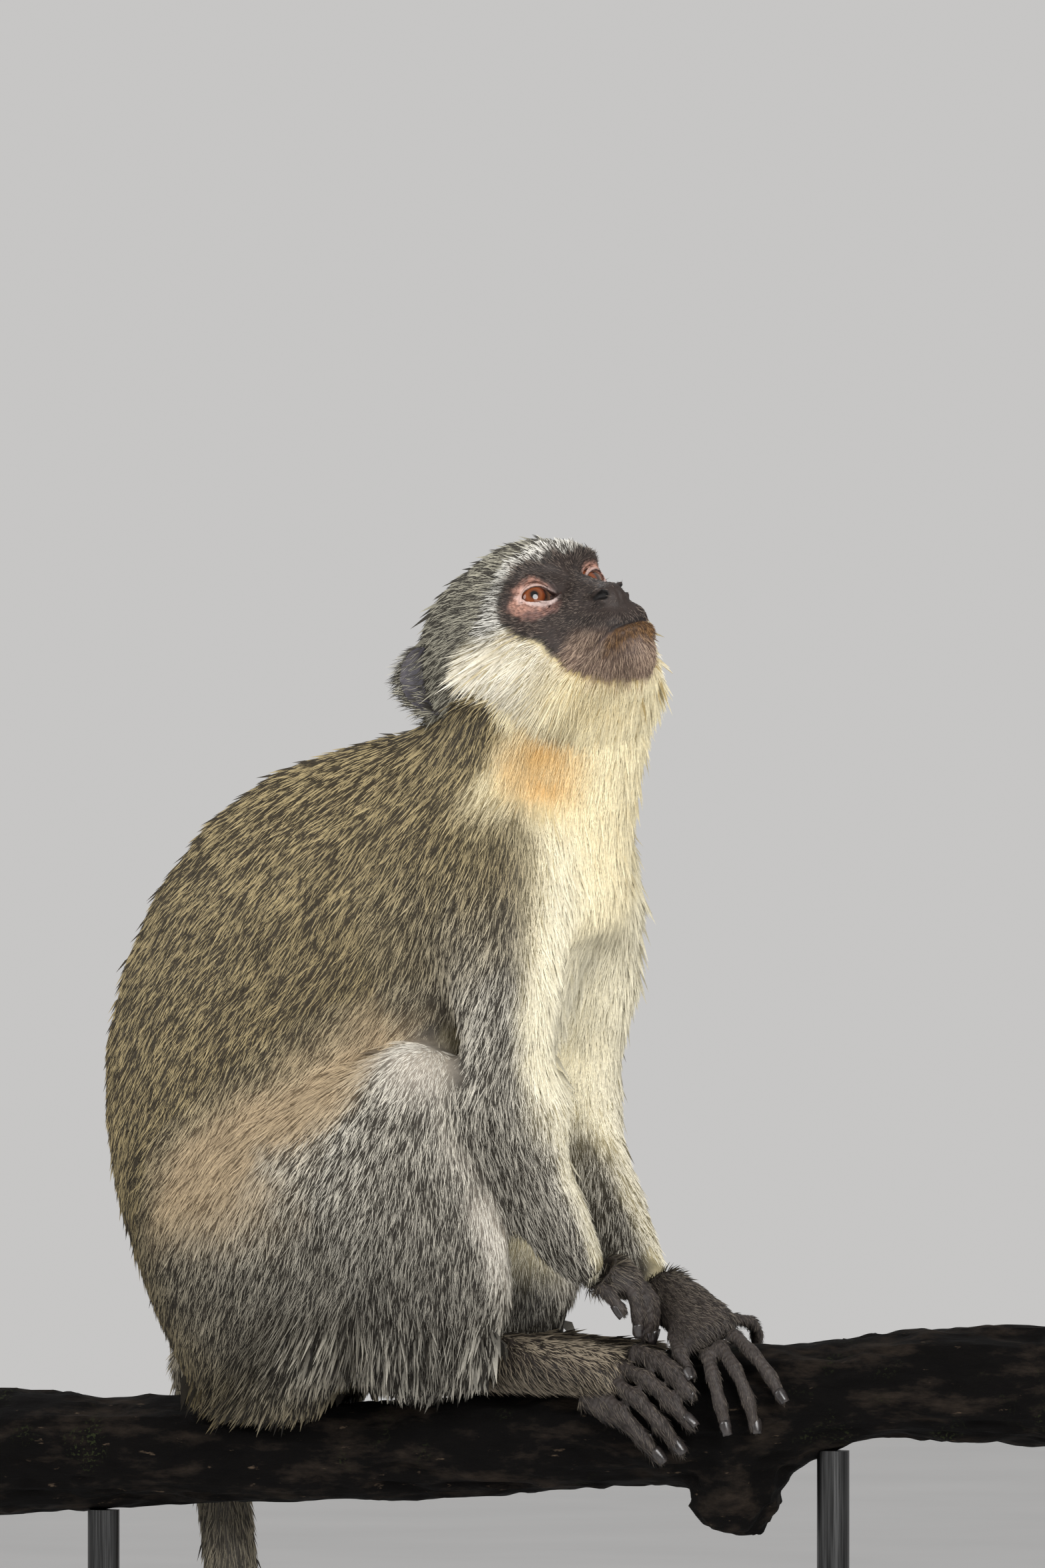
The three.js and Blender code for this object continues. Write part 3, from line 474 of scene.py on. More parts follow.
def face_form(p, d):
    """The finer forms of the face on the head's field."""
    for side in (1, -1):
        d = carve(d, ellipsoid(p, (7, side * 16, -1), (8, 11, 7.5)), 6)  # socket
        d = blend(d, norm(p - eye_middle(side), axis=1) - LID_RADIUS, 2.2)  # lids over the eyeball
        for key, reach in (("above", 2.6), ("below", 2.9)):
            d = carve(d, chain(p, round_lid(side, key, reach, 0.0, 0.6)), 1.5)  # crease beyond the lid
            d = blend(d, chain(p, round_lid(side, key, 0.5, 0.0, 0.5)), 0.9)  # raised edge of the lid
        wing = [(18, side * 6.2, -14.6, 0.7), (22.5, side * 6.6, -15.2, 1.0), (27, side * 5.8, -15.9, 1.1)]
        d = blend(d, chain(p, wing), 2.0)  # wing of the nostril
        rim = [(21.5, side * 6.8, -20, 0.9), (26.5, side * 6.4, -21.2, 1.1)]
        d = blend(d, chain(p, rim), 1.6)  # lower rim of the nostril
        d = carve(d, chain(p, [(x, side * y, z, radius) for x, y, z, radius in NOSTRIL]), 0.8)
    d = carve(d, chain(p, [(30.6, 0, -20, 0.4), (29.6, 0, -28, 0.6)]), 1.2)  # groove under the nose
    fullness = np.interp(np.abs(np.linspace(-1, 1, len(LOWER_LIP))), [0, 1], [1.1, 0.5])
    d = blend(d, chain(p, beads(LOWER_LIP, fullness)), 3.5)
    d = carve(d, chain(p, beads(MOUTH_LINE, [0.75] * len(MOUTH_LINE))), 0.9)  # line of the mouth
    for side in (1, -1):
        out, _ = eye_view(p, side)
        ball = EYE_RADIUS - 0.6 - norm(p - eye_middle(side), axis=1)
        shallow = np.where(out > INNER_CORNER, -FAR, -1.2 - d)
        ahead = np.where(p[:, 0] > eye_middle(side)[0], -FAR, FAR)
        cut = np.maximum.reduce([lid_margin(p, side), ball, shallow, ahead])
        d = carve(d, cut, 0.5)  # opening between the lids
    return d


FACE_CENTRE = np.array([-30.0, 0.0, -12.0])
FACE_EDGE = {  # turn from the crown: how nearly ahead the face's edge lies
    0: 0.83, 20: 0.81, 35: 0.73, 48: 0.63, 56: 0.55, 66: 0.52, 76: 0.53, 90: 0.61, 102: 0.70, 112: 0.755,
    124: 0.715, 180: 0.725,
}


def face_view(p):
    """How nearly points lie ahead of the head's middle, and their turn from crown, 0, to chin, 180."""
    q = unit(p - FACE_CENTRE)
    return q[:, 0], np.degrees(np.arctan2(np.abs(q[:, 1]), q[:, 2]))


def past_edge(p):
    """How far behind the face's edge a point lies, negative on the face."""
    ahead, turn = face_view(p)
    return np.interp(turn, list(FACE_EDGE), list(FACE_EDGE.values())) - ahead


def head_zones(p):
    """Shares of the head's coat at each point: face, chin, brow band, crown, cheek and throat."""
    ahead, turn = face_view(p)
    past = past_edge(p) + 0.022 * lattice_noise(p, 3.0, 3) + 0.014 * lattice_noise(p, 1.2, 4)
    face = smoothstep(0.03, -0.03, past)
    chin = face * smoothstep(122, 140, turn) * smoothstep(0.935, 0.90, ahead)
    behind = smoothstep(0.80, 1.25, past + 0.5 * smoothstep(150, 90, turn))
    band_edge = smoothstep(0.16, 0.07, past - 0.12 * smoothstep(50, 80, turn))
    band = (1 - face) * smoothstep(92, 74, turn) * band_edge
    throat = (1 - face) * smoothstep(116, 150, turn)
    crown = (1 - face - band - throat) * np.maximum(smoothstep(92, 70, turn), behind)
    return {"face": face - chin, "chin": chin, "band": band, "throat": throat, "crown": np.maximum(crown, 0),
            "cheek": np.clip(1 - face - band - throat - crown, 0, 1)}


DEPTH, LENGTH, WIDTH, RISE, PER_MM2 = range(5)
HEAD_COAT = {  # depth of the coat over the skin, length and width of its tufts, degrees they rise, per mm2
    "face": (0.25, 2.2, 0.22, 13, 3.2), "chin": (0.7, 4.4, 0.28, 24, 3.4), "band": (1.5, 9.5, 0.27, 36, 3.2),
    "crown": (2.4, 8.5, 0.30, 17, 3.0), "cheek": (3.2, 15, 0.26, 19, 3.6), "throat": (3.8, 20, 0.30, 17, 3.0),
}


def head_coat(p):
    """The coat's measures on the head, one row for each of depth, length, width, rise and density."""
    zones = head_zones(p)
    total = np.maximum(sum(zones.values()), 1e-6)
    measures = sum(np.outer(np.array(HEAD_COAT[zone]), share / total) for zone, share in zones.items())
    past, (_, turn) = past_edge(p), face_view(p)
    grown = 0.3 + 0.7 * smoothstep(-0.02, 0.22, past)  # shorter hairs border the face
    measures[[DEPTH, LENGTH]] *= 1 - (1 - zones["face"] - zones["chin"]) * (1 - grown)
    edge = zones["face"] * smoothstep(-0.12, 0.0, past)  # the face's last hairs overlap the pale ones
    wisps = zones["cheek"] * smoothstep(70, 84, turn) * smoothstep(106, 92, turn)
    nape = zones["crown"] * smoothstep(0.85, 1.2, past)
    measures[LENGTH] *= 1 + 1.3 * edge + 0.8 * wisps + 0.8 * nape
    return measures


FACE_REACH = 0.16  # how far past the face's edge its finer skin reaches
SUNK_SKULL = 9.0  # how much deeper the skull lies under the face
DEEPEST_FORM = 6.0  # the most that the coat and the finer forms move the head's surface


def head_field(p):
    """The skin of the head: the form less the coat's depth, with the face's forms where it is bare."""
    d = head_form(p) + head_coat(p)[DEPTH]
    return face_form(p, d)


def past_face(p):
    """Roughly the distance from the stretch of finer skin, in millimetres."""
    return (past_edge(p) - FACE_REACH) * norm(p - FACE_CENTRE, axis=1)


def face_solid(p):
    return np.maximum(head_field(p), past_face(p))


def skull_solid(p):
    """The rest of the head. Under the face it lies deeper, so that it doesn't show in the sockets."""
    return head_form(p) + head_coat(p)[DEPTH] + smoothstep(-1.0, -8.0, past_face(p)) * SUNK_SKULL


def head_surface(field, voxel, face_only):
    """The surface of a field of the head's frame. Only the points near it are worked out finely."""
    low, high = (np.array(corner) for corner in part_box("head"))
    first = np.floor((low - MARGIN) / voxel).astype(int)
    step = 4  # fine voxels to a coarse one
    shape = (np.ceil((high + MARGIN) / voxel).astype(int) - first) // step * step
    axes = [(first[i] + (np.arange(shape[i] // step) + 0.5) * step) * voxel for i in range(3)]
    coarse = to_head(np.stack(np.meshgrid(*axes, indexing="ij"), axis=-1).reshape(-1, 3))
    rough = head_form(coarse)
    if face_only:
        rough = np.maximum(rough, past_face(coarse))
    values = rough.reshape(shape // step).astype(np.float32)
    for axis in range(3):
        values = np.repeat(values, step, axis)
    near = np.argwhere(np.abs(values) < DEEPEST_FORM + step * voxel / MM)
    values[tuple(near.T)] = field(to_head((near + first) * voxel))
    return surface(values * MM, first, voxel)


# ---------------------------------------------------------------- the body's skin
LIMBS = [f"{limb}_{side}" for limb in ("thigh", "shin", "upper_arm", "forearm") for side in SIDES]
TAIL = [f"tail_{i}" for i in range(1, 5)]
FINGERS = ["thumb", "index", "middle", "ring", "little"]
TOES = ["toe_hallux", "toe_second", "toe_third", "toe_fourth", "toe_fifth"]
TIPS = {"hand": ("forearm", FINGERS), "foot": ("shin", TOES)}

BODY_COAT = {  # as HEAD_COAT
    "loin": (3.2, 8.5, 0.45, 14, 1.22), "chest": (3.4, 9, 0.45, 14, 1.25), "neck": (3.4, 13, 0.38, 13, 1.45),
    "thigh": (2.8, 8.5, 0.43, 14, 1.25), "shin": (2.4, 8, 0.42, 14, 1.05),
    "upper_arm": (3.0, 9, 0.42, 14, 1.4), "forearm": (2.4, 9, 0.40, 14, 1.3),
    "tail": (2.6, 9, 0.46, 14, 0.55), "hand": (0.5, 6, 0.36, 15, 1.4), "foot": (1.0, 9, 0.42, 16, 0.95),
    "finger": (0.12, 2.6, 0.30, 12, 1.1), "toe": (0.15, 4.5, 0.34, 15, 0.8), "ear": (0.3, 7, 0.34, 15, 1.6),
}


def coat_kind(node):
    """The row of BODY_COAT for a node."""
    if node.startswith("tail"):
        return "tail"
    if node.startswith("toe_"):
        return "toe"
    stem = node.rsplit("_", 1)[0] if node.endswith(("_left", "_right")) else node
    return "finger" if stem in FINGERS else stem


def neck_distance(points):
    """The distance from the neck's core, in metres."""
    p = (points - SEAT) / MM
    middle_x, middle_y, width, depth = (np.interp(p[..., 2], NECK[:, 2], NECK[:, i]) for i in (0, 1, 3, 4))
    reach = np.hypot((p[..., 0] - middle_x) / depth, (p[..., 1] - middle_y) / width)
    side = (reach - 1) * np.minimum(width, depth)
    return np.maximum(side, np.maximum(p[..., 2] - 330, 218 - p[..., 2])) * MM


SOFT = {  # the lengths over which the body's parts melt into each other
    "neck": 0.030, "knee": 0.024, "elbow": 0.034, "hip": 0.020, "shoulder": 0.024, "limbs": 0.003,
    "wrist": 0.006, "digit": 0.0022,
}


def trunk_and_limbs(solids):
    """The union of the body's solids, melted into each other at the shoulders, hips and joints."""
    field = solids.fields
    trunk = blend(solids.closed(np.minimum(field["loin"], field["chest"])), field["neck"], SOFT["neck"])
    whole = trunk
    for side in SIDES:
        leg = blend(field[f"thigh_{side}"], field[f"shin_{side}"], SOFT["knee"])
        arm = blend(field[f"upper_arm_{side}"], field[f"forearm_{side}"], SOFT["elbow"])
        for limb, soft in ((leg, SOFT["hip"]), (arm, SOFT["shoulder"])):
            whole = blend(whole, blend(trunk, limb, soft), SOFT["limbs"])
    return blurred(whole, passes=7)


class Skin:
    """A stretch of skin with what its coat needs on each of its points."""

    def __init__(self, verts, quads):
        self.verts, self.quads = verts, quads
        self.tris = triangles_of(quads)
        self.normals = vertex_normals(verts, self.tris)
        self.along = np.zeros(len(verts))  # the distance along which creases follow each other
        self.folded = np.zeros(len(verts))  # how far the skin is creased

    def even_normals(self, passes):
        return unit(smoothed(self.normals, self.tris, passes))

    def recolour(self, key, weight):
        """Mixes a marking's colours into the coat's."""
        self.roots, self.tips = mixed(self.roots, ROOT[key], weight), mixed(self.tips, TIP[key], weight)

    def laid(self, lie):
        """A direction laid onto the skin."""
        return unit(lie - np.einsum("ij,ij->i", lie, self.even)[:, None] * self.even)


# Where the coat lies, seen from the right side: [ahead, outward, up] for each kind of part.
LIE = {
    "loin": (-0.45, 0, -0.90), "chest": (-0.58, 0, -0.82), "neck": (-0.35, 0, -0.94),
    "thigh": (-0.40, 0, -0.92), "shin": (-0.05, 0, -1.0), "upper_arm": (-0.15, 0, -0.98),
    "forearm": (0.35, -0.2, -0.92),
    "tail": (0, 0, -1), "hand": (0.8, -0.45, -0.4), "foot": (0.75, 0.25, -0.55), "finger": (0.35, -0.2, -0.9),
    "toe": (0.6, 0.4, -0.7), "ear": (-0.95, 0, -0.3),
}


def lie_of(node):
    ahead, outward, up = LIE[coat_kind(node)]
    return np.array([ahead, outward if node.endswith("_left") else -outward, up])


BLENDING = {"marks": 0.007, "soft_marks": 0.016, "hand": 0.003}  # reach over which neighbours' coats mix


def body_coat(skin, solids, blending=BLENDING["marks"]):
    """Adds the coat's measures, colours and lie to a stretch of the body's skin."""
    names = list(solids.fields)
    kinds = [coat_kind(name) for name in names]
    shares = solids.shares_at(skin.verts, blending)
    wide = solids.shares_at(skin.verts, BLENDING["soft_marks"])

    def by_kind(table):
        return {kind: table[:, [k == kind for k in kinds]].sum(1) for kind in BODY_COAT}

    skin.measures = shares @ np.array([BODY_COAT[kind] for kind in kinds])
    skin.node = np.array(names)[shares.argmax(1)]
    skin.even = skin.even_normals(5)
    lie = shares @ np.array([lie_of(name) for name in names])
    markings(skin, by_kind(shares), by_kind(wide), lie)


def near(points, place, radii):
    """1 at a place in millimetres from the seat, falling to 0 at the radii, on both sides of the body."""
    p = (points - SEAT) / MM
    mirrored = np.stack([p[:, 0], -np.abs(p[:, 1]), p[:, 2]], axis=1)
    return smoothstep(1.0, 0.25, norm((mirrored - np.array(place)) / np.array(radii), axis=1))


GOLD = {"place": (98, -42, 281), "radii": (27, 32, 27)}  # patch at the side of the neck, at its hairs' roots
KNEE = {"place": (50, -62, 146), "radii": (27, 30, 27)}


HEIGHTS = {  # millimetres above the seat between which a marking, or the painted shade low on the back and limbs, fades in
    "cream": (45, 80), "shoulder": (250, 170), "buff": (60, 95), "ridge": (40, 80),
    "back_shade": (140, 50), "limb_shade": (120, 20), "fringe": (70, 45),
}
LIGHT = {"back": 0.42, "limb_more": 0.08}  # share of a ticked coat's tufts that are light


def faded(key, height):
    return smoothstep(*HEIGHTS[key], height)


def cream_parts(share, p, n, ragged):
    """How cream the coat is at each point: the front of the body and the inner sides of the limbs."""
    outward = np.sign(p[:, 1]) * n[:, 1]
    above_seat = faded("cream", p[:, 2])
    front = n[:, 0] * 0.9 - n[:, 2] * 0.35 + ragged
    to_front = n[:, 0] * 0.93 - outward * 0.37 + ragged
    cream = share["loin"] * smoothstep(0.45, 0.75, front) * above_seat
    cream += share["chest"] * smoothstep(0.25, 0.65, front)
    cream += share["neck"] * smoothstep(-0.18, 0.16, n[:, 0] + ragged)
    inner_arm = smoothstep(-0.05, 0.7, to_front) + smoothstep(0.15, 0.6, ragged - outward)
    cream += share["upper_arm"] * inner_arm
    cream += share["forearm"] * 0.75 * smoothstep(0.45, 0.95, to_front)
    cream += (share["thigh"] + share["shin"]) * smoothstep(0.2, 0.8, ragged - outward) * above_seat
    return np.clip(cream, 0, 1)


def set_lengths(skin, bottom, height, long, buff, knee):
    """Longer hair on the front, in the crease and over the branch, shorter hair on the knees."""
    hanging = smoothstep(0.45, 0.85, -skin.even[:, 2]) * faded("fringe", height) * bottom
    skin.measures[:, LENGTH] *= (1 + 0.6 * long + 0.3 * buff + 1.5 * hanging) * (1 - 0.45 * knee)
    skin.measures[:, RISE] = skin.measures[:, RISE] * (1 + 0.3 * long - 0.3 * knee) + 50 * hanging


def markings(skin, share, wide, lie):
    """The body's colours: ticked olive back, ticked grey limbs, cream front, gold neck patch, pale knees."""
    p = (skin.verts - SEAT) / MM
    n = skin.even
    ragged = 0.10 * lattice_noise(p, 9.0, 5) + 0.05 * lattice_noise(p, 4.0, 6)
    leg = share["thigh"] + share["shin"]
    cream = cream_parts(share, p, n, ragged)
    dark = share["hand"] + share["finger"] + share["toe"]
    shoulder = wide["upper_arm"] * faded("shoulder", p[:, 2] + 60 * ragged)
    limb = np.clip(wide["thigh"] + wide["shin"] + shoulder + wide["forearm"], 0, 1)
    crease = wide["thigh"] * (wide["chest"] + wide["loin"]) * 4
    buff = smoothstep(0.35, 0.95, crease + ragged) * faded("buff", p[:, 2])
    knee = near(skin.verts, **KNEE) * leg
    ridge = leg * smoothstep(0.5, 0.9, n[:, 0] + ragged) * faded("ridge", p[:, 2])
    gold = near(skin.verts, **GOLD) * np.clip(0.85 + 3 * ragged, 0, 1)
    height = p[:, 2] + 40 * ragged
    # painted shade: the back and the limbs darken toward the seat and the branch, where shade falls
    back_shade = 0.6 * (1 - limb) * faded("back_shade", height)
    shaded = 1 - (back_shade + 0.42 * limb * faded("limb_shade", height))
    roots = mixed(ROOT["back"], ROOT["limb"], limb) * shaded[:, None]
    tips = mixed(TIP["back"], TIP["limb"], limb) * shaded[:, None]
    ticked = LIGHT["back"] + LIGHT["limb_more"] * limb
    for weight, key, solid in (
        (share["tail"], "tail", 0.6), (buff, "buff", 0.8), (cream, "chest", 1.0),
        (cream * share["neck"], "throat", 1.0), (np.clip(0.9 * ridge + knee, 0, 1), "knee", 0.95),
        (gold, "gold", 1.0), (dark, "hand", 0.5), (share["foot"], "foot", 0.6), (share["ear"], "crown", 0.4),
    ):
        roots, tips = mixed(roots, ROOT[key], weight), mixed(tips, TIP[key], weight)
        ticked = ticked * (1 - weight) + solid * weight
    skin.roots, skin.tips, skin.ticked = roots, tips, ticked
    long = cream * (share["chest"] + share["upper_arm"])
    set_lengths(skin, leg + 0.7 * share["loin"], p[:, 2], long, buff, knee)
    skin.colour = mixed(roots * 0.85, SKIN["hand"], np.clip(dark + share["foot"], 0, 1))
    skin.lie = skin.laid(mixed(lie, np.array([-0.55, 0, -0.83]), buff))


HEAD_COLOURS = {  # each zone's colours and the share of its tufts that are light
    "face": ("face", 0.35), "chin": ("chin", 0.5), "band": ("brow", 0.62), "crown": ("crown", 0.42),
    "cheek": ("cream", 0.84), "throat": ("throat", 0.95),
}


def head_markings(skin):
    """The head's coat: dark face, stained lip, pink lids, pale brow band and cheeks, grey crown."""
    p = to_head(skin.verts)
    zones = head_zones(p)
    total = np.maximum(sum(zones.values()), 1e-6)
    skin.roots, skin.tips = (
        sum(np.outer(zones[zone] / total, colours[key]) for zone, (key, _) in HEAD_COLOURS.items())
        for colours in (ROOT, TIP))
    skin.ticked = sum(zones[zone] / total * light for zone, (_, light) in HEAD_COLOURS.items())
    skin.measures = head_coat(p).T.copy()
    skin.node = np.where(p[:, 1] > 0, "head_left", "head_right")
    skin.even = skin.even_normals(3)
    stain = lip_stain(p) * np.clip(zones["face"] + zones["chin"], 0, 1)
    skin.recolour("stain", 0.85 * stain)
    skin.colour, bare, pink = face_colours(p, skin.roots * 0.8, zones, stain)
    skin.recolour("pink", pink)
    round_eye, skin.folded = lid_folds(p)
    skin.along = round_eye * MM * EYE_CREASES
    skin.measures[:, PER_MM2] *= 1 - bare
    skin.measures[:, LENGTH] *= 1 - 0.4 * stain
    skin.measures[:, RISE] += 14 * stain
    away = unit(p - HAIR_STARTS)
    swept = 0.45 * (zones["cheek"] + 0.6 * zones["crown"] + 0.3 * zones["throat"])
    lie = mixed(away, np.array([-1.0, 0, 0]), swept) @ HEAD_AXES
    skin.lie = skin.laid(lie + np.array([0, 0, -0.25]) * (zones["cheek"] + zones["throat"])[:, None])


def lip_stain(p):
    """The brownish stain on the front of the lower lip."""
    lower = MOUTH["front_height"] - p[:, 2]
    ragged = 2.2 * lattice_noise(p, 2.4, 15)
    across = smoothstep(14, 9, np.abs(p[:, 1]) + ragged) * smoothstep(8, 12, p[:, 0])
    return across * smoothstep(0.0, 1.0, lower) * smoothstep(9.5, 5.5, lower + ragged)


PINK = {"centre": (2.6, -0.9), "radii": (10.4, 9.8)}  # bare patch round each eye, in the eye's view
EYE_CREASES = 2.2  # how many times closer the creases round the eyes lie than those of the digits
FRONT_OF_HEAD = -14.0  # what lies behind it is no part of the eyes' surroundings
NOSE_TIP = np.array([28.0, 0, -20])
HAIR_STARTS = np.array([30.0, 0.0, -22.0])  # the head's hair lies away from here


def lid_folds(p):
    """The distance from the nearer eye's middle, and how far the skin there is creased round the eye."""
    out, up = (np.stack([eye_view(p, side)[i] for side in (1, -1)]) for i in (0, 1))
    distance = np.hypot(out - PINK["centre"][0], up - PINK["centre"][1]).min(0)
    ring = smoothstep(4.5, 6.5, distance) * smoothstep(13.0, 10.0, distance)
    return distance, 1.1 * ring * (p[:, 0] > FRONT_OF_HEAD)


def eye_colours(p, side, colour):
    """Paints the bare patch round one eye and its lids, paints shade into its inner corner, and tells where
    it is pink and bare.
    """
    out, up = eye_view(p, side)
    margin = lid_margin(p, side)
    ahead = p[:, 0] > FRONT_OF_HEAD
    offset = norm((np.stack([out, up], 1) - PINK["centre"]) / PINK["radii"], axis=1)
    patch = offset + 0.10 * lattice_noise(p, 3.0, 9) + 0.07 * lattice_noise(p, 1.1, 14)
    lid = smoothstep(1.12, 0.82, patch) * ahead
    low = smoothstep(-2.5, -7.5, up + 1.5 * lattice_noise(p, 3.0, 13)) + smoothstep(-1.0, -7.0, out)
    dusky = np.clip(0.8 * low + 0.15 + 0.6 * lattice_noise(p, 1.3, 12), 0, 1)
    pale = (0.45 + 0.4 * smoothstep(0.0, -1.5, up)) * smoothstep(2.6, 1.2, margin)
    tone = mixed(mixed(SKIN["lid"], SKIN["lid_low"], dusky), SKIN["lid_rim"], pale)
    # painted shade: the shallow recess of the eye's inner corner is coloured dark
    corner = smoothstep(0.7, 0.1, margin) * smoothstep(-3.5, -5.0, out) * ahead
    inner = smoothstep(LID_RADIUS - 0.4, LID_RADIUS - 0.9, norm(p - eye_middle(side), axis=1))
    edge = smoothstep(0.55, 0.15, margin) * (1 - 0.6 * corner) * ahead
    colour = mixed(colour, tone, lid * 0.92)
    for key, weight in (
        ("corner", corner), ("lid_edge", edge * (0.55 + 0.45 * smoothstep(-1.0, 1.0, up))),
        ("lid_wall", inner * edge * smoothstep(-5.0, -3.0, out)),
    ):
        colour = mixed(colour, SKIN[key], weight)
    return colour, lid, np.maximum(lid * 0.5, smoothstep(2.4, 1.2, margin) * ahead)


def face_colours(p, under_fur, zones, stain):
    """The colour of the head's skin, where it is bare and where it is pink."""
    face = np.clip(zones["face"] + zones["chin"], 0, 1)
    from_mouth = chain(p, beads(MOUTH_LINE, [0.0] * len(MOUTH_LINE)))
    colour = under_fur
    for key, weight in (
        ("face", face), ("chin", zones["chin"] * 0.8),
        ("stain", stain * np.clip(0.6 + 0.4 * lattice_noise(p, 1.6, 8), 0, 1)),
        # painted shade: the carved line between the lips is coloured near-black
        ("mouth", smoothstep(1.3, 0.6, from_mouth) * face),
    ):
        colour = mixed(colour, SKIN[key], weight)
    bare, pink = smoothstep(1.6, 0.9, from_mouth), np.zeros(len(p))
    for side in (1, -1):
        colour, lid, bare_here = eye_colours(p, side, colour)
        pink, bare = np.maximum(pink, lid), np.maximum(bare, bare_here)
    apart = np.stack([p[:, 0], np.abs(p[:, 1]), p[:, 2]], axis=1)
    # painted shade: the carved nostrils are coloured near-black where shade fills their hollows
    nostril = smoothstep(1.0, 0.2, chain(apart, NOSTRIL))
    colour = mixed(colour, SKIN["nostril"], nostril)
    nose = smoothstep(10.0, 7.0, norm(p - NOSE_TIP, axis=1))
    return colour, np.clip(np.maximum(bare, np.maximum(0.85 * nose, nostril)), 0, 1), pink


# ---------------------------------------------------------------- the coat
def scattered(skin, keep, draw):
    """Roots spread over the triangles of a stretch of skin where keep is true for its points."""
    tris = skin.tris[keep[skin.tris].all(axis=1)]
    a, b, c = (skin.verts[tris[:, i]] for i in range(3))
    area = 0.5 * norm(np.cross(b - a, c - a), axis=1) / MM ** 2
    wanted = np.cumsum(area * skin.measures[tris, PER_MM2].mean(axis=1) * DENSITY)
    count = int(wanted[-1])
    picked = np.searchsorted(wanted, (np.arange(count) + draw.random(count)) * wanted[-1] / count)
    corners = tris[np.clip(picked, 0, len(tris) - 1)]
    u, v = draw.random(count), draw.random(count)
    over = u + v > 1
    u, v = np.where(over, 1 - u, u), np.where(over, 1 - v, v)
    weights = np.stack([1 - u - v, u, v], axis=1)

    def at(values):
        return np.einsum("ij,ij...->i...", weights, values[corners])

    tufts = {key: at(getattr(skin, key)) for key in ("measures", "roots", "tips", "ticked")}
    return {"root": at(skin.verts), "normal": unit(at(skin.even)), "lie": unit(at(skin.lie)),
            "node": skin.node[corners[:, 0]], **tufts}


def chosen(tufts, mask):
    return {key: values[mask] for key, values in tufts.items()}


STRAYS = {"share": 0.02, "rise": 1.7, "length": 1.15}  # tufts that stand off the coat
LEAN = {"flow": 0.16, "flow_size": 0.016, "each": 0.19}  # sideways, as a share of the lie
BEND = (1.35, 1.05)  # how a tuft's rise falls from root to tip
DROOP = np.array([0, 0, -0.12])
SINK = 0.7 * MM
SHORT_SINK = 0.09  # the most that a short tuft's root is sunk, as a share of its length
CLUMPS = {"across": 7 * MM, "pull": 0.12}


def clumped(tufts):
    """How far each tuft leans sideways toward the middle of its clump."""
    step = np.cross(tufts["normal"], tufts["lie"]) * CLUMPS["across"] * 0.15
    ahead, behind = (lattice_noise(tufts["root"] + way * step, CLUMPS["across"], 25) for way in (1, -1))
    return CLUMPS["pull"] * (ahead - behind)


VARIED = {"length": (0.75, 0.5), "rise": (0.7, 0.6), "width": (0.8, 0.4), "tone": (0.8, 0.4)}


def varied(draw, key, count):
    """A random factor for each tuft, from the least one over a span."""
    least, span = VARIED[key]
    return least + span * draw.random(count)


def tuft_paths(tufts, draw, shares):
    """The middle line of each tuft at the given shares of its length, and its direction there."""
    count = len(tufts["root"])
    normal, lie = tufts["normal"], tufts["lie"]
    sideways = np.cross(normal, lie)
    flow = LEAN["flow"] * lattice_noise(tufts["root"], LEAN["flow_size"], 21)
    lean = flow + clumped(tufts) + LEAN["each"] * draw.standard_normal(count)
    lie = unit(lie + sideways * lean[:, None])
    length = tufts["measures"][:, LENGTH] * MM * varied(draw, "length", count)
    rise = tufts["measures"][:, RISE] * varied(draw, "rise", count)
    rise = rise * (1 + 0.15 * lattice_noise(tufts["root"], 0.008, 23))
    stray = draw.random(count) < STRAYS["share"]
    rise = np.radians(np.where(stray, rise * STRAYS["rise"], rise))
    length = np.where(stray, length * STRAYS["length"], length)
    sink = np.minimum(SINK, SHORT_SINK * tufts["measures"][:, LENGTH] * MM)
    points = [tufts["root"] - normal * sink[:, None]]
    for low, high in zip(shares, shares[1:]):
        angle = rise * (BEND[0] - BEND[1] * (low + high) / 2)
        way = lie * np.cos(angle)[:, None] + normal * np.sin(angle)[:, None]
        way = unit(way + DROOP * high)
        points.append(points[-1] + way * (length * (high - low))[:, None])
    return np.stack(points, axis=1), sideways


# A tuft's stations, each (share of its length, ((across, height), ...) in its widths), and its faces.
STATIONS = ((0.0, ((-0.5, 0.0), (0.5, 0.0))), (0.42, ((0.0, 0.30),)), (1.0, ((0.0, 0.0),)))
TUFT_FACES = ((0, 3, 2), (1, 2, 3), (0, 2, 1), (0, 1, 3))
TICK = 0.7 * MM  # how far apart light and dark tufts lie in a ticked coat
SOFTNESS = 0.72  # how far the shading of a tuft follows the skin under it
PATCH = 0.003  # width of a tuft's own patch of the map
ENOUGH_ROOTS = 4000  # to find the main axis of a stretch


def tuft_mesh(tufts, draw, branch):
    """Closed tapering tufts as arrays: points, one row of them a tuft, with their normals and colours."""
    paths, sideways = tuft_paths(tufts, draw, [share for share, _ in STATIONS])
    width = tufts["measures"][:, WIDTH] * MM * varied(draw, "width", len(paths))
    upward = unit(np.cross(paths[:, 1] - paths[:, 0], sideways))
    upward = np.where(np.einsum("ij,ij->i", upward, tufts["normal"])[:, None] < 0, -upward, upward)
    rows, leaning = [], []
    for station, (_, corners) in enumerate(STATIONS):
        for across, height in corners:
            aside = sideways * across + upward * height
            rows.append(paths[:, station] + aside * width[:, None])
            leaning.append(unit(tufts["normal"] * SOFTNESS + unit(aside + upward * 0.4) * (1 - SOFTNESS)))
    verts = np.stack(rows, axis=1)
    roots = len(STATIONS[0][1])
    loose = verts[:, roots:]
    verts[:, roots:] = branch.keep_out(loose.reshape(-1, 3)).reshape(loose.shape)
    return verts, np.stack(leaning, axis=1), tuft_colours(tufts, draw)


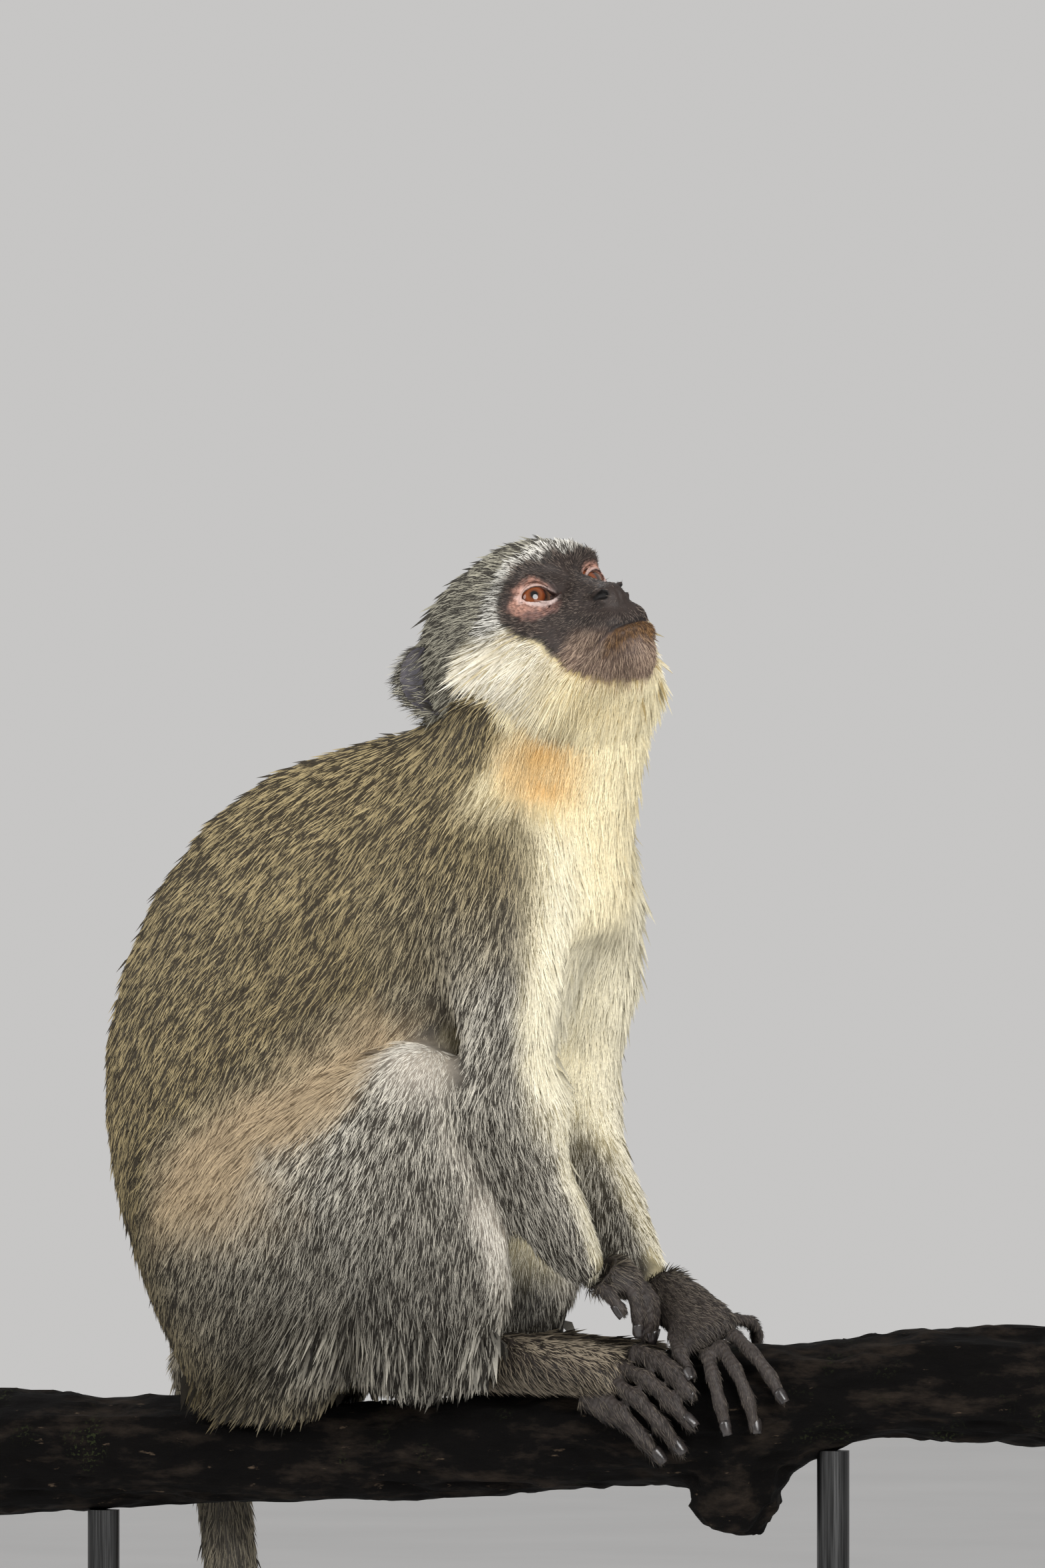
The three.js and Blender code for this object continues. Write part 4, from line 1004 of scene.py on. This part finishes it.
def tuft_colours(tufts, draw):
    """Dark at the root, then the marking's own colour. Some tufts of a ticked coat stay dark to the tip."""
    count = len(tufts["root"])
    tone = varied(draw, "tone", count)[:, None]
    shade = (1 + 0.08 * lattice_noise(tufts["root"], 0.007, 31))[:, None]
    patchy = 1.2 * tufts["ticked"] * (1 - tufts["ticked"]) * lattice_noise(tufts["root"], TICK, 33)
    light = draw.random(count) + patchy < tufts["ticked"]
    tip = np.where(light[:, None], tufts["tips"], tufts["roots"]) * tone * shade
    root = tufts["roots"] * 0.75
    rows = []
    for share, corners in STATIONS:
        rows += [mixed(root, tip, np.full(count, smoothstep(0.05, 0.85, share)))] * len(corners)
    return np.stack(rows, axis=1)


def unwrap(roots):
    """A place on a square for each root: how far along the main axis it lies and its turn round it."""
    middle = roots.mean(0)
    some = (roots - middle)[:: max(1, len(roots) // ENOUGH_ROOTS)]
    _, _, axes = np.linalg.svd(some, full_matrices=False)
    q = (roots - middle) @ axes.T
    along = (q[:, 0] - q[:, 0].min()) / max(np.ptp(q[:, 0]), 1e-6)
    turn = np.arctan2(q[:, 2], q[:, 1]) / (2 * math.pi) + 0.5
    return np.stack([along, turn], axis=1) * (1 - PATCH)


MOST_TRIANGLES = 195000


def coat_pieces(name, tufts, draw, branch):
    """The objects of one part of the coat, split where it has too many triangles."""
    verts, normals, colours = tuft_mesh(tufts, draw, branch)
    faces = np.array(TUFT_FACES)
    patch = np.array([(share, across + 0.5) for share, corners in STATIONS for across, _ in corners]) * PATCH
    uvs = unwrap(tufts["root"])[:, None] + patch[None]
    parts = math.ceil(len(verts) * len(faces) / MOST_TRIANGLES)
    for i in range(parts):
        rows = slice(len(verts) * i // parts, len(verts) * (i + 1) // parts)
        starts = np.arange(rows.stop - rows.start) * verts.shape[1]
        points, normal, colour, uv = (
            values[rows].reshape(-1, values.shape[2]) for values in (verts, normals, colours, uvs))
        yield mesh_object(f"{name}_{i + 1}" if parts > 1 else name, points,
                          (faces + starts[:, None, None]).reshape(-1, 3), colour, uv, normals=normal)


# ---------------------------------------------------------------- materials
class Look:
    """A material with a Principled shader, and short ways to wire its nodes."""

    def __init__(self, name, **sockets):
        self.material = bpy.data.materials.new(name)
        self.material.use_nodes = True
        self.tree = self.material.node_tree
        self.shader = self.tree.nodes["Principled BSDF"]
        for key, value in sockets.items():
            self.shader.inputs[key.replace("_", " ")].default_value = value

    def node(self, kind, inputs=None, **settings):
        """A node with its settings. Its inputs are numbers, colours or other nodes' outputs."""
        node = self.tree.nodes.new("ShaderNode" + kind)
        for key, value in settings.items():
            setattr(node, key, value)
        for key, value in (inputs or {}).items():
            if isinstance(value, bpy.types.NodeSocket):
                self.tree.links.new(value, node.inputs[key])
            else:
                node.inputs[key].default_value = value
        return node

    def place(self, scale=(1, 1, 1)):
        """The place in the object's own frame, stretched by scale."""
        coords = self.node("TexCoord").outputs["Object"]
        return self.node("Mapping", {"Vector": coords, "Scale": scale}).outputs[0]

    def noise(self, scale, detail, roughness=0.55, place=None):
        place = self.place() if place is None else place
        inputs = {"Vector": place, "Scale": scale, "Detail": detail, "Roughness": roughness}
        return self.node("TexNoise", inputs).outputs["Fac"]

    def ramp(self, fac, stops):
        """A colour ramp through stops, {place: tone}."""
        ramp = self.node("ValToRGB", {"Fac": fac})
        elements = ramp.color_ramp.elements
        while len(elements) < len(stops):
            elements.new(0.5)
        for element, (at, tone) in zip(elements, stops.items()):
            element.position = at
            element.color = rgba(tone)
        return ramp.outputs["Color"]

    def maths(self, operation, *values):
        return self.node("Math", dict(enumerate(values)), operation=operation).outputs[0]

    def attribute(self, name, output="Fac"):
        return self.node("Attribute", attribute_name=name).outputs[output]

    def mix(self, fac, a, b, blend_type="MIX"):
        inputs = {"Factor": fac, 6: a, 7: b}
        return self.node("Mix", inputs, data_type="RGBA", blend_type=blend_type).outputs[2]

    def marking(self, scale, detail, low, high):
        """The mesh's own colours with fine lighter and darker noise from low to high."""
        variation = self.ramp(self.noise(scale, detail), {0.3: low, 0.7: high})
        return self.mix(1.0, self.attribute("Marking", "Color"), variation, "MULTIPLY")

    def waves(self, name, spacing, wobble):
        """Stripes that lie spacing apart along an attribute, shifted by a wobble."""
        turns = self.maths("MULTIPLY", self.attribute(name), 2 * math.pi / spacing)
        return self.maths("SINE", self.maths("MULTIPLY_ADD", wobble, 9.0, turns))

    def join(self, value, socket):
        self.tree.links.new(value, self.shader.inputs[socket])

    def bump(self, height, strength, distance):
        inputs = {"Height": height, "Strength": strength, "Distance": distance}
        self.join(self.node("Bump", inputs).outputs["Normal"], "Normal")


def rgba(tone):
    """A grey value or a colour's code as a node's colour."""
    return (*(hex_colour(tone) if isinstance(tone, str) else (tone, tone, tone)), 1.0)


def coat_material():
    look = Look("coat_hair", Roughness=0.62, Specular_IOR_Level=0.28)
    look.join(look.marking(900.0, 2.0, 0.86, 1.12), "Base Color")
    return look.material


def skin_material():
    """Bare skin with pores and fine folds, and creases across the digits and round the eyes."""
    look = Look("bare_skin", Roughness=0.6, Specular_IOR_Level=0.3)
    look.join(look.marking(420.0, 5.0, 0.78, 1.18), "Base Color")
    folds = look.noise(260.0, 6.0)
    height = look.maths("ADD", look.noise(1300.0, 3.0), folds)
    creases = look.maths("MULTIPLY", look.waves("along", CREASES, folds), look.attribute("folded"))
    look.bump(look.maths("MULTIPLY_ADD", creases, 0.8, height), 0.35, 0.0006)
    return look.material


def eye_material():
    """Pupil, orange-brown iris with its dark ring, and the brownish white, by the angle from the gaze."""
    look = Look("eye", Roughness=0.05, Specular_IOR_Level=0.5)
    polar = look.attribute("polar")
    wobble = look.maths("MULTIPLY_ADD", look.noise(900.0, 3.0), 0.05, -0.025)
    pupil, iris = (math.degrees(math.asin(r / EYE_RADIUS)) / 90 for r in (PUPIL_RADIUS, IRIS_RADIUS))
    stops = {0.0: "050404", pupil * 0.9: "050404", pupil * 1.15: "50280f", iris * 0.55: "723a18",
             iris * 0.82: "5a2a16", iris * 0.95: "31170c", iris * 1.06: "1a100c", iris * 1.5: "5c4233",
             1.0: "8a6a55"}
    look.join(look.ramp(look.maths("ADD", polar, wobble), stops), "Base Color")
    return look.material


def nail_material():
    look = Look("nail", Roughness=0.28, Specular_IOR_Level=0.5)
    look.join(look.ramp(look.noise(500.0, 3.0), {0.3: "141111", 0.75: "3b3634"}), "Base Color")
    look.bump(look.noise(1500.0, 2.0, place=look.place((1, 1, 0.15))), 0.2, 0.0003)
    return look.material


def bark_material():
    """Near-black bark with pale flecks and a little lichen, and rings of wood on the cut ends."""
    look = Look("bark", Roughness=0.9, Specular_IOR_Level=0.1)
    place = look.place((0.35, 1, 1))
    base = look.ramp(look.noise(90.0, 8.0, 0.65, place), {0.30: "030202", 0.5: "080605", 0.72: "332b24"})
    flecks = look.ramp(look.noise(260.0, 4.0, 0.6, place), {0.66: 0.0, 0.74: 1.0})
    colour = look.mix(flecks, base, rgba("5a4c3e"))
    patches = look.ramp(look.noise(34.0, 3.0), {0.60: 0.0, 0.70: 1.0})
    specks = look.ramp(look.noise(700.0, 3.0), {0.56: 0.0, 0.62: 1.0})
    colour = look.mix(look.maths("MULTIPLY", patches, specks), colour, rgba("2a2f1a"))
    rings = look.waves("ring", WOOD_RINGS, look.noise(120.0, 3.0))
    wood = look.ramp(rings, {0.0: "8f7350", 1.0: "74583c"})
    look.join(look.mix(look.attribute("cut"), colour, wood), "Base Color")
    look.bump(look.noise(260.0, 9.0, 0.75, place), 1.0, 0.004)
    return look.material


def wood_material():
    look = Look("stand_wood_finish", Roughness=0.38, Specular_IOR_Level=0.45)
    grain = look.noise(160.0, 7.0, 0.6, look.place((0.06, 1, 1)))
    look.join(look.ramp(grain, {0.3: "2b211b", 0.55: "4a392d", 0.75: "62503f"}), "Base Color")
    look.join(look.ramp(look.noise(60.0, 3.0), {0.3: 0.32, 0.7: 0.46}), "Roughness")
    look.bump(grain, 0.25, 0.0006)
    return look.material


def steel_material():
    look = Look("stand_steel_finish", Metallic=1.0, Roughness=0.34)
    brushed = look.noise(1400.0, 2.0, place=look.place((1, 1, 0.02)))
    look.join(look.ramp(brushed, {0.3: 0.035, 0.7: 0.075}), "Base Color")
    look.join(look.ramp(brushed, {0.3: 0.28, 0.7: 0.42}), "Roughness")
    look.bump(brushed, 0.12, 0.0002)
    return look.material


def ear_material():
    look = Look("ear_skin", Roughness=0.55, Specular_IOR_Level=0.3)
    look.join(look.ramp(look.noise(180.0, 5.0), {0.3: "333138", 0.7: "514d52"}), "Base Color")
    look.bump(look.noise(700.0, 4.0), 0.3, 0.0005)
    return look.material


def floor_material():
    look = Look("floor_paper", Roughness=0.9, Specular_IOR_Level=0.1)
    look.join(look.ramp(look.noise(3.0, 3.0), {0.3: 0.66, 0.7: 0.70}), "Base Color")
    return look.material


CREASES = 0.0026  # from one crease of the skin to the next
WOOD_RINGS = 0.0022


# ---------------------------------------------------------------- eyes and nails
GAZE = {"right": unit(np.array([0.457, -0.797, 0.31])), "left": unit(np.array([0.54, -0.735, 0.31]))}


CORNEA = {"bulge": 0.75, "reach": math.radians(37)}  # height over the ball, its edge's angle from the gaze


def closed_rings(name, rings, first, last, extra=None, inside_out=False):
    """A closed mesh over rings of points, with an end point before the first ring and after the last."""
    sides = len(rings[0])
    here = np.arange(sides)
    after = (here + 1) % sides
    start = np.arange(len(rings) - 1)[:, None] * sides
    a, b = (start + here).ravel(), (start + after).ravel()
    top, end = (len(rings) - 1) * sides, np.full(sides, len(rings) * sides)
    corners = ((a, b, b + sides), (a, b + sides, a + sides),
               (end, after, here), (end + 1, top + here, top + after))
    faces = np.concatenate([np.stack(three, axis=1) for three in corners])
    verts = np.concatenate([*rings, [first], [last]])
    return mesh_object(name, verts, faces[:, ::-1] if inside_out else faces, extra=extra)


def eyeball(name, centre, gaze):
    """A ball with a bulging cornea. Its rings crowd round the gaze, where the iris is."""
    across = unit(np.cross(gaze, np.array([0, 0, 1.0])))
    over = np.cross(across, gaze)
    rings, sides = 40, 48
    polar = np.pi * (np.arange(1, rings) / rings) ** 1.5
    turn = np.arange(sides) / sides * 2 * np.pi
    bulge = CORNEA["bulge"] * np.clip(1 - (polar / CORNEA["reach"]) ** 2, 0, 1) ** 1.2
    radius = ((EYE_RADIUS + bulge) * MM)[:, None, None]
    circle = np.cos(turn)[:, None] * across + np.sin(turn)[:, None] * over
    body = radius * (np.sin(polar)[:, None, None] * circle + np.cos(polar)[:, None, None] * gaze)
    front, back = gaze * (EYE_RADIUS + CORNEA["bulge"]) * MM, -gaze * EYE_RADIUS * MM
    from_gaze = np.degrees(np.concatenate([np.repeat(polar, sides), [0], [math.pi]])) / 90
    return closed_rings(name, body + centre, front + centre, back + centre,
                        {"polar": np.clip(from_gaze, 0, 1)}, inside_out=True)


NAIL = {"rows": 6, "columns": 7, "length": 2.1, "width": 1.55, "arch": 0.42, "thick": 0.12}  # in its sizes


def nail(tip, ahead, dorsal, size):
    """A curved plate on a digit's tip, as points and quads."""
    across = unit(np.cross(dorsal, ahead))
    steps = np.meshgrid(np.linspace(0, 1, NAIL["rows"]), np.linspace(-1, 1, NAIL["columns"]), indexing="ij")
    along, side = (step.reshape(-1, 1) for step in steps)
    length, width, arch, thick = (NAIL[key] * size for key in ("length", "width", "arch", "thick"))
    reach = width / 2 * (0.82 + 0.18 * np.sin(math.pi * np.minimum(along + 0.25, 1)))
    drop = arch * side ** 2 + arch * 0.55 * along ** 3
    under = (tip + ahead * length * (along - 0.72) * (1 - 0.12 * side ** 2) + across * reach * side
             + dorsal * (size * 0.96 - drop))
    grid = np.arange(len(under)).reshape(NAIL["rows"], NAIL["columns"])
    a, b, c, d = (part.ravel() for part in (grid[:-1, :-1], grid[1:, :-1], grid[1:, 1:], grid[:-1, 1:]))
    rim = np.concatenate([grid[0], grid[1:, -1], grid[-1, -2::-1], grid[-2:0:-1, 0]])
    after, count = np.roll(rim, -1), grid.size
    corners = ((a, b, c, d), (a + count, d + count, c + count, b + count),
               (rim, after, after + count, rim + count))
    quads = np.concatenate([np.stack(four, axis=1) for four in corners])
    return np.concatenate([under, under + dorsal * thick]), quads


DIGIT = {"tip": 0.0035, "root": 0.004, "last_bone": 0.010}  # the reach of a digit's parts from its ends
NAIL_SIZE = {"hand": 3.2 * MM, "foot": 3.7 * MM}


def digit_nail(node, palm):
    """The nail of one finger or toe: it lies on the outer side of the digit's curve, at its tip."""
    verts, _ = node_mesh(node)
    centre = np.mean(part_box(palm), axis=0)
    reach = norm(verts - centre, axis=1)
    far = verts[reach > reach.max() - DIGIT["tip"]].mean(0)
    near_end = verts[reach < reach.min() + DIGIT["root"]].mean(0)
    last = verts[norm(verts - far, axis=1) < DIGIT["last_bone"]].mean(0)
    ahead = unit(far - last)
    dorsal = verts.mean(0) - (far + near_end) / 2
    dorsal = unit(dorsal - ahead * (dorsal @ ahead))
    return nail(far - ahead * 0.6 * MM, ahead, dorsal, NAIL_SIZE[palm.split("_")[0]])


# ---------------------------------------------------------------- the perch and the stand
BARK = {"ridges": 1.69, "plates": 1.17, "grain": 0.91, "sunk": 2.99, "cut": 0.4}  # relief in millimetres


def bark_piece():
    """The branch with ridged bark and two smooth cut ends, whose wood lies in rings round the heart."""
    solids = Solids(["perch_branch"], VOXEL["bark"])
    verts, quads = surface(blurred(solids.fields["perch_branch"], 1), solids.first, solids.voxel)
    normals = vertex_normals(verts, triangles_of(quads))
    low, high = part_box("perch_branch")
    from_end = np.minimum(verts[:, 0] - low[0], high[0] - verts[:, 0])
    cut = smoothstep(0.004, 0.002, from_end) * smoothstep(0.5, 0.85, np.abs(normals[:, 0]))
    ring = np.zeros(len(verts))
    for here in (verts[:, 0] < 0, verts[:, 0] >= 0):
        heart = verts[here & (cut > 0.5)].mean(0)
        ring[here] = norm((verts[here] - heart)[:, 1:], axis=1)
    stretched = verts * np.array([0.28, 1, 1])
    ridges = 1 - 2 * np.abs(lattice_noise(stretched, 0.008, 41))
    plates = lattice_noise(stretched, 0.016, 42)
    grain = lattice_noise(verts * np.array([0.4, 1, 1]), 0.0032, 43)
    height = (BARK["ridges"] * ridges + BARK["plates"] * plates + BARK["grain"] * grain - BARK["sunk"]) * MM
    verts = verts + normals * (height * (1 - cut) - BARK["cut"] * MM * cut)[:, None]
    return mesh_object("perch_bark", verts, quads, extra={"cut": cut, "ring": ring})


def sharpen(obj, angle):
    """Smooth faces with crisp edges where they meet at more than an angle."""
    obj.data.set_sharp_from_angle(angle=math.radians(angle))
    return obj


def rod_piece(end):
    """A rod with a collar at its foot, turned about its middle line."""
    low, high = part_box(f"stand_rod_{end}")
    x, y = (low[0] + high[0]) / 2, (low[1] + high[1]) / 2
    radius, bottom, top = (high[0] - low[0]) / 2, low[2], high[2]
    collar, collar_height, edge, sides = radius * 2.1, 0.005, 0.0008, 64
    profile = [(collar, bottom), (collar, bottom + collar_height - edge),
               (collar - edge, bottom + collar_height), (radius, bottom + collar_height), (radius, top)]
    turn = np.arange(sides) / sides * 2 * np.pi
    rings = [np.stack([r * np.cos(turn) + x, r * np.sin(turn) + y, np.full(sides, z)], axis=1)
             for r, z in profile]
    return sharpen(closed_rings(f"stand_post_{end}", rings, (x, y, bottom), (x, y, top)), 35)


def base_piece():
    """The base board with rounded corners and a softly routed upper edge."""
    low, high = (np.array(corner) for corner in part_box("stand_base"))
    corner, arc, edge = 0.040, 16, 0.003
    half, middle = (high - low)[:2] / 2, (low + high)[:2] / 2
    angles = np.linspace(0, math.pi / 2, arc)
    layers = [(edge * 0.6, low[2]), (0, low[2] + edge * 0.6)]
    layers += [(edge * (1 - math.cos(a)), high[2] - edge + edge * math.sin(a)) for a in angles[::3]]
    rings = []
    for inset, height in layers:
        ring = []
        for quarter, way in enumerate(((1, 1), (-1, 1), (-1, -1), (1, -1))):
            turn = angles + quarter * math.pi / 2
            round_corner = np.stack([np.cos(turn), np.sin(turn)], axis=1) * (corner - inset)
            ring.append(middle + (half - corner) * way + round_corner)
        ring = np.concatenate(ring)
        rings.append(np.column_stack([ring, np.full(len(ring), height)]))
    return sharpen(closed_rings("stand_board", rings, (*middle, low[2]), (*middle, high[2])), 50)


# ---------------------------------------------------------------- putting it together
def dress(obj, material, slot, *nodes):
    obj.data.materials.clear()
    obj.data.materials.append(material)
    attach(obj, "root")
    if nodes:
        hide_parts(*nodes)
    return obj


DEPTH_REACH = {"body": 0.008, "tail": 0.006, "end": 0.003}  # over which neighbours' coat depths mix
UNDER = 1.2 * MM  # how far a hand's or foot's skin lies under the limb's


def body_skins():
    """The skin of trunk, neck and limbs, and that of the tail."""
    solids = Solids(["loin", "chest", *LIMBS], VOXEL["body"])
    reach = BAND * solids.voxel
    solids.fields["neck"] = np.clip(neck_distance(solids.points()), -reach, reach).astype(np.float32)
    form = trunk_and_limbs(solids) + solids.coat_depth(DEPTH_REACH["body"])
    body = Skin(*surface(form, solids.first, solids.voxel))
    body_coat(body, solids)
    solids = Solids(TAIL, VOXEL["tail"])
    whole = blurred(solids.closed(np.minimum.reduce(list(solids.fields.values()))), 2)
    tail = Skin(*surface(whole + solids.coat_depth(DEPTH_REACH["tail"]), solids.first, solids.voxel))
    body_coat(tail, solids)
    return body, tail


def end_skin(palm, limb, digits):
    """The finer skin of a hand or a foot, which runs up into the limb, and the palm's distance."""
    solids = Solids([limb, palm, *digits], VOXEL["end"], within=[palm, *digits])
    field = solids.fields
    whole = blend(field[limb] + UNDER, field[palm], SOFT["wrist"])
    for digit in digits:
        whole = blend(whole, field[digit], SOFT["digit"])
    whole = blurred(whole, 1) + solids.coat_depth(DEPTH_REACH["end"])
    skin = Skin(*surface(solids.within_grid(whole), solids.first, solids.voxel))
    body_coat(skin, solids, BLENDING["hand"])
    skin.along = norm(skin.verts - np.mean(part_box(palm), axis=0), axis=1)
    skin.folded = np.isin(skin.node, digits).astype(float)
    skin.own = np.isin(skin.node, [palm, *digits])
    return skin, lambda points: solids.at(points, field[palm])


def ear_skin(side):
    solids = Solids([f"ear_{side}"], VOXEL["ear"], margin=0.004)
    form = blurred(solids.fields[f"ear_{side}"] + solids.coat_depth(DEPTH_REACH["end"]), 2)
    skin = Skin(*surface(form, solids.first, solids.voxel))
    body_coat(skin, solids)
    return skin


# How deep in another part no tuft is rooted. The head's is in its own frame's millimetres.
HIDDEN = {"neck": 5.5 * MM, "head": 6.0, "palm": 2 * MM}
SHORT_HAIR = 5.5  # the longest of the face's own hairs, in millimetres


COAT_SLOTS = {"loin": "fur_back", "chest": "fur_back", "neck": "fur_pale"}


def build_coat(body, tail, ends, ears, head, material):
    """Roots the tufts on the skins, leaving out the places hidden under another skin."""
    draw = np.random.default_rng(SEED)
    branch = Branch()

    def finish(name, tufts, slot):
        for obj in coat_pieces(name, tufts, draw, branch):
            dress(obj, material, slot)

    def everywhere(skin):
        return scattered(skin, np.full(len(skin.verts), True), draw)

    keep = head_form(to_head(body.verts)) >= -HIDDEN["head"]
    for _, palm_distance in ends.values():
        keep &= palm_distance(body.verts) > -HIDDEN["palm"]
    tufts = scattered(body, keep, draw)
    for node in sorted(set(body.node)):
        finish(f"coat_{node}", chosen(tufts, tufts["node"] == node), COAT_SLOTS.get(node, "fur_limb"))
    finish("coat_tail", everywhere(tail), "fur_back")
    for name, (skin, _) in ends.items():
        finish(f"coat_{name}", scattered(skin, skin.own, draw), "dark_skin")
    for side, ear in ears.items():
        finish(f"coat_ear_{side}", everywhere(ear), "fur_pale")
    stretches = [scattered(skin, skin.own & (neck_distance(skin.verts) >= -HIDDEN["neck"]), draw)
                 for skin in head]
    tufts = {key: np.concatenate([stretch[key] for stretch in stretches]) for key in stretches[0]}
    short = tufts["measures"][:, LENGTH] < SHORT_HAIR
    finish("coat_face", chosen(tufts, short), "face_skin")
    for side in SIDES:
        finish(f"coat_head_{side}", chosen(tufts, ~short & (tufts["node"] == f"head_{side}")), "fur_pale")


def joined_skin(name, skins):
    """One object of several skins with their markings and folds."""
    verts, quads = joined_meshes([(skin.verts, skin.quads) for skin in skins])
    extra = {key: np.concatenate([getattr(skin, key) for skin in skins]) for key in ("along", "folded")}
    return mesh_object(name, verts, quads, np.concatenate([skin.colour for skin in skins]), extra=extra)


def head_skins():
    """The finer skin of the face and the skull's, each with the stretch of it that the coat roots on."""
    face = Skin(*head_surface(face_solid, VOXEL["face"], True))
    skull = Skin(*head_surface(skull_solid, VOXEL["skull"], False))
    for skin in (face, skull):
        head_markings(skin)
    face.own = past_face(to_head(face.verts)) < -1.0
    skull.own = past_face(to_head(skull.verts)) > -1.0
    return face, skull


def build_model():
    skin_look = skin_material()
    body, tail = body_skins()
    ends = {f"{palm}_{side}": end_skin(*(f"{part}_{side}" for part in (palm, limb)),
                                       [f"{digit}_{side}" for digit in digits])
            for side in SIDES for palm, (limb, digits) in TIPS.items()}
    head = head_skins()
    ears = {side: ear_skin(side) for side in SIDES}
    flesh = [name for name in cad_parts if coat_kind(name) in BODY_COAT]
    skins = [body, tail, *(skin for skin, _ in ends.values())]
    dress(joined_skin("skin_body", skins), skin_look, "dark_skin", *flesh)
    dress(joined_skin("skin_head", head), skin_look, "face_skin", "head")
    build_coat(body, tail, ends, ears, head, coat_material())
    eye_look, ear_look, steel = eye_material(), ear_material(), steel_material()
    for side in SIDES:
        dress(eyeball(f"eyeball_{side}", EYE_CENTRES[side], GAZE[side]), eye_look, "eye", f"eye_{side}")
    nails = [digit_nail(f"{digit}_{side}", f"{palm}_{side}") for side in SIDES
             for palm, (_, digits) in TIPS.items() for digit in digits]
    dress(mesh_object("nails", *joined_meshes(nails)), nail_material(), "dark_skin")
    for side, ear in ears.items():
        dress(mesh_object(f"ear_cup_{side}", ear.verts, ear.quads), ear_look, "face_skin", f"ear_{side}")
    dress(bark_piece(), bark_material(), "bark", "perch_branch")
    dress(base_piece(), wood_material(), "stand_wood", "stand_base")
    for end in ("behind", "ahead"):
        dress(rod_piece(end), steel, "stand_steel", f"stand_rod_{end}")


# ---------------------------------------------------------------- the studio
def camera_axes():
    """The ways to the right in the picture and toward the camera."""
    turn = math.radians(CAMERA["azimuth"])
    return Vector((math.cos(turn), math.sin(turn), 0)), Vector((math.sin(turn), -math.cos(turn), 0))


def add_camera():
    _, toward = camera_axes()
    camera = bpy.data.objects.new("camera", bpy.data.cameras.new("camera"))
    bpy.context.scene.collection.objects.link(camera)
    camera.location = Vector(CAMERA["aim"]) + toward * CAMERA["distance"]
    camera.rotation_euler = (math.radians(90), 0, math.radians(CAMERA["azimuth"]))
    height = PHOTO["height"] * PHOTO["mm_per_pixel"] * MM
    camera.data.sensor_fit = "VERTICAL"
    camera.data.sensor_height = FULL_SENSOR
    camera.data.lens = FULL_SENSOR * CAMERA["distance"] / height
    camera.data.clip_end = 50
    bpy.context.scene.camera = camera


LIGHTS = {  # offset from the camera's aim (right, toward the camera, up), size and power
    "key": ((0.9, 2.1, 0.85), 1.5, 70), "fill": ((-2.2, 1.2, 0.8), 1.6, 30),
    "rim": ((-0.9, -1.8, 2.0), 1.2, 24),
}
SKY = {"Color": (0.89, 0.88, 0.87, 1), "Strength": 0.64}
FLOOR_SPAN = 12.0


def add_softbox(name, offset, size, power):
    """An area light aimed at the animal."""
    right, toward = camera_axes()
    light = bpy.data.lights.new(name, "AREA")
    light.shape, light.size, light.energy = "DISK", size, power
    obj = bpy.data.objects.new(name, light)
    bpy.context.scene.collection.objects.link(obj)
    aim = Vector(CAMERA["aim"])
    obj.location = aim + right * offset[0] + toward * offset[1] + Vector((0, 0, offset[2]))
    obj.rotation_euler = (aim - obj.location).to_track_quat("-Z", "Y").to_euler()


def add_studio():
    """The pale floor, an even sky and the lights."""
    corners = np.array([(-1, -1, 0), (1, -1, 0), (1, 1, 0), (-1, 1, 0)]) * FLOOR_SPAN
    floor = mesh_object("floor", corners, np.array([[0, 1, 2, 3]]))
    floor.data.materials.append(floor_material())
    scene = bpy.context.scene
    scene.world = bpy.data.worlds.new("studio")
    scene.world.use_nodes = True
    for key, value in SKY.items():
        scene.world.node_tree.nodes["Background"].inputs[key].default_value = value
    for name, (offset, size, power) in LIGHTS.items():
        add_softbox(name, offset, size, power)
    scene.view_settings.view_transform = "Standard"


add_camera()
build_model()
add_studio()
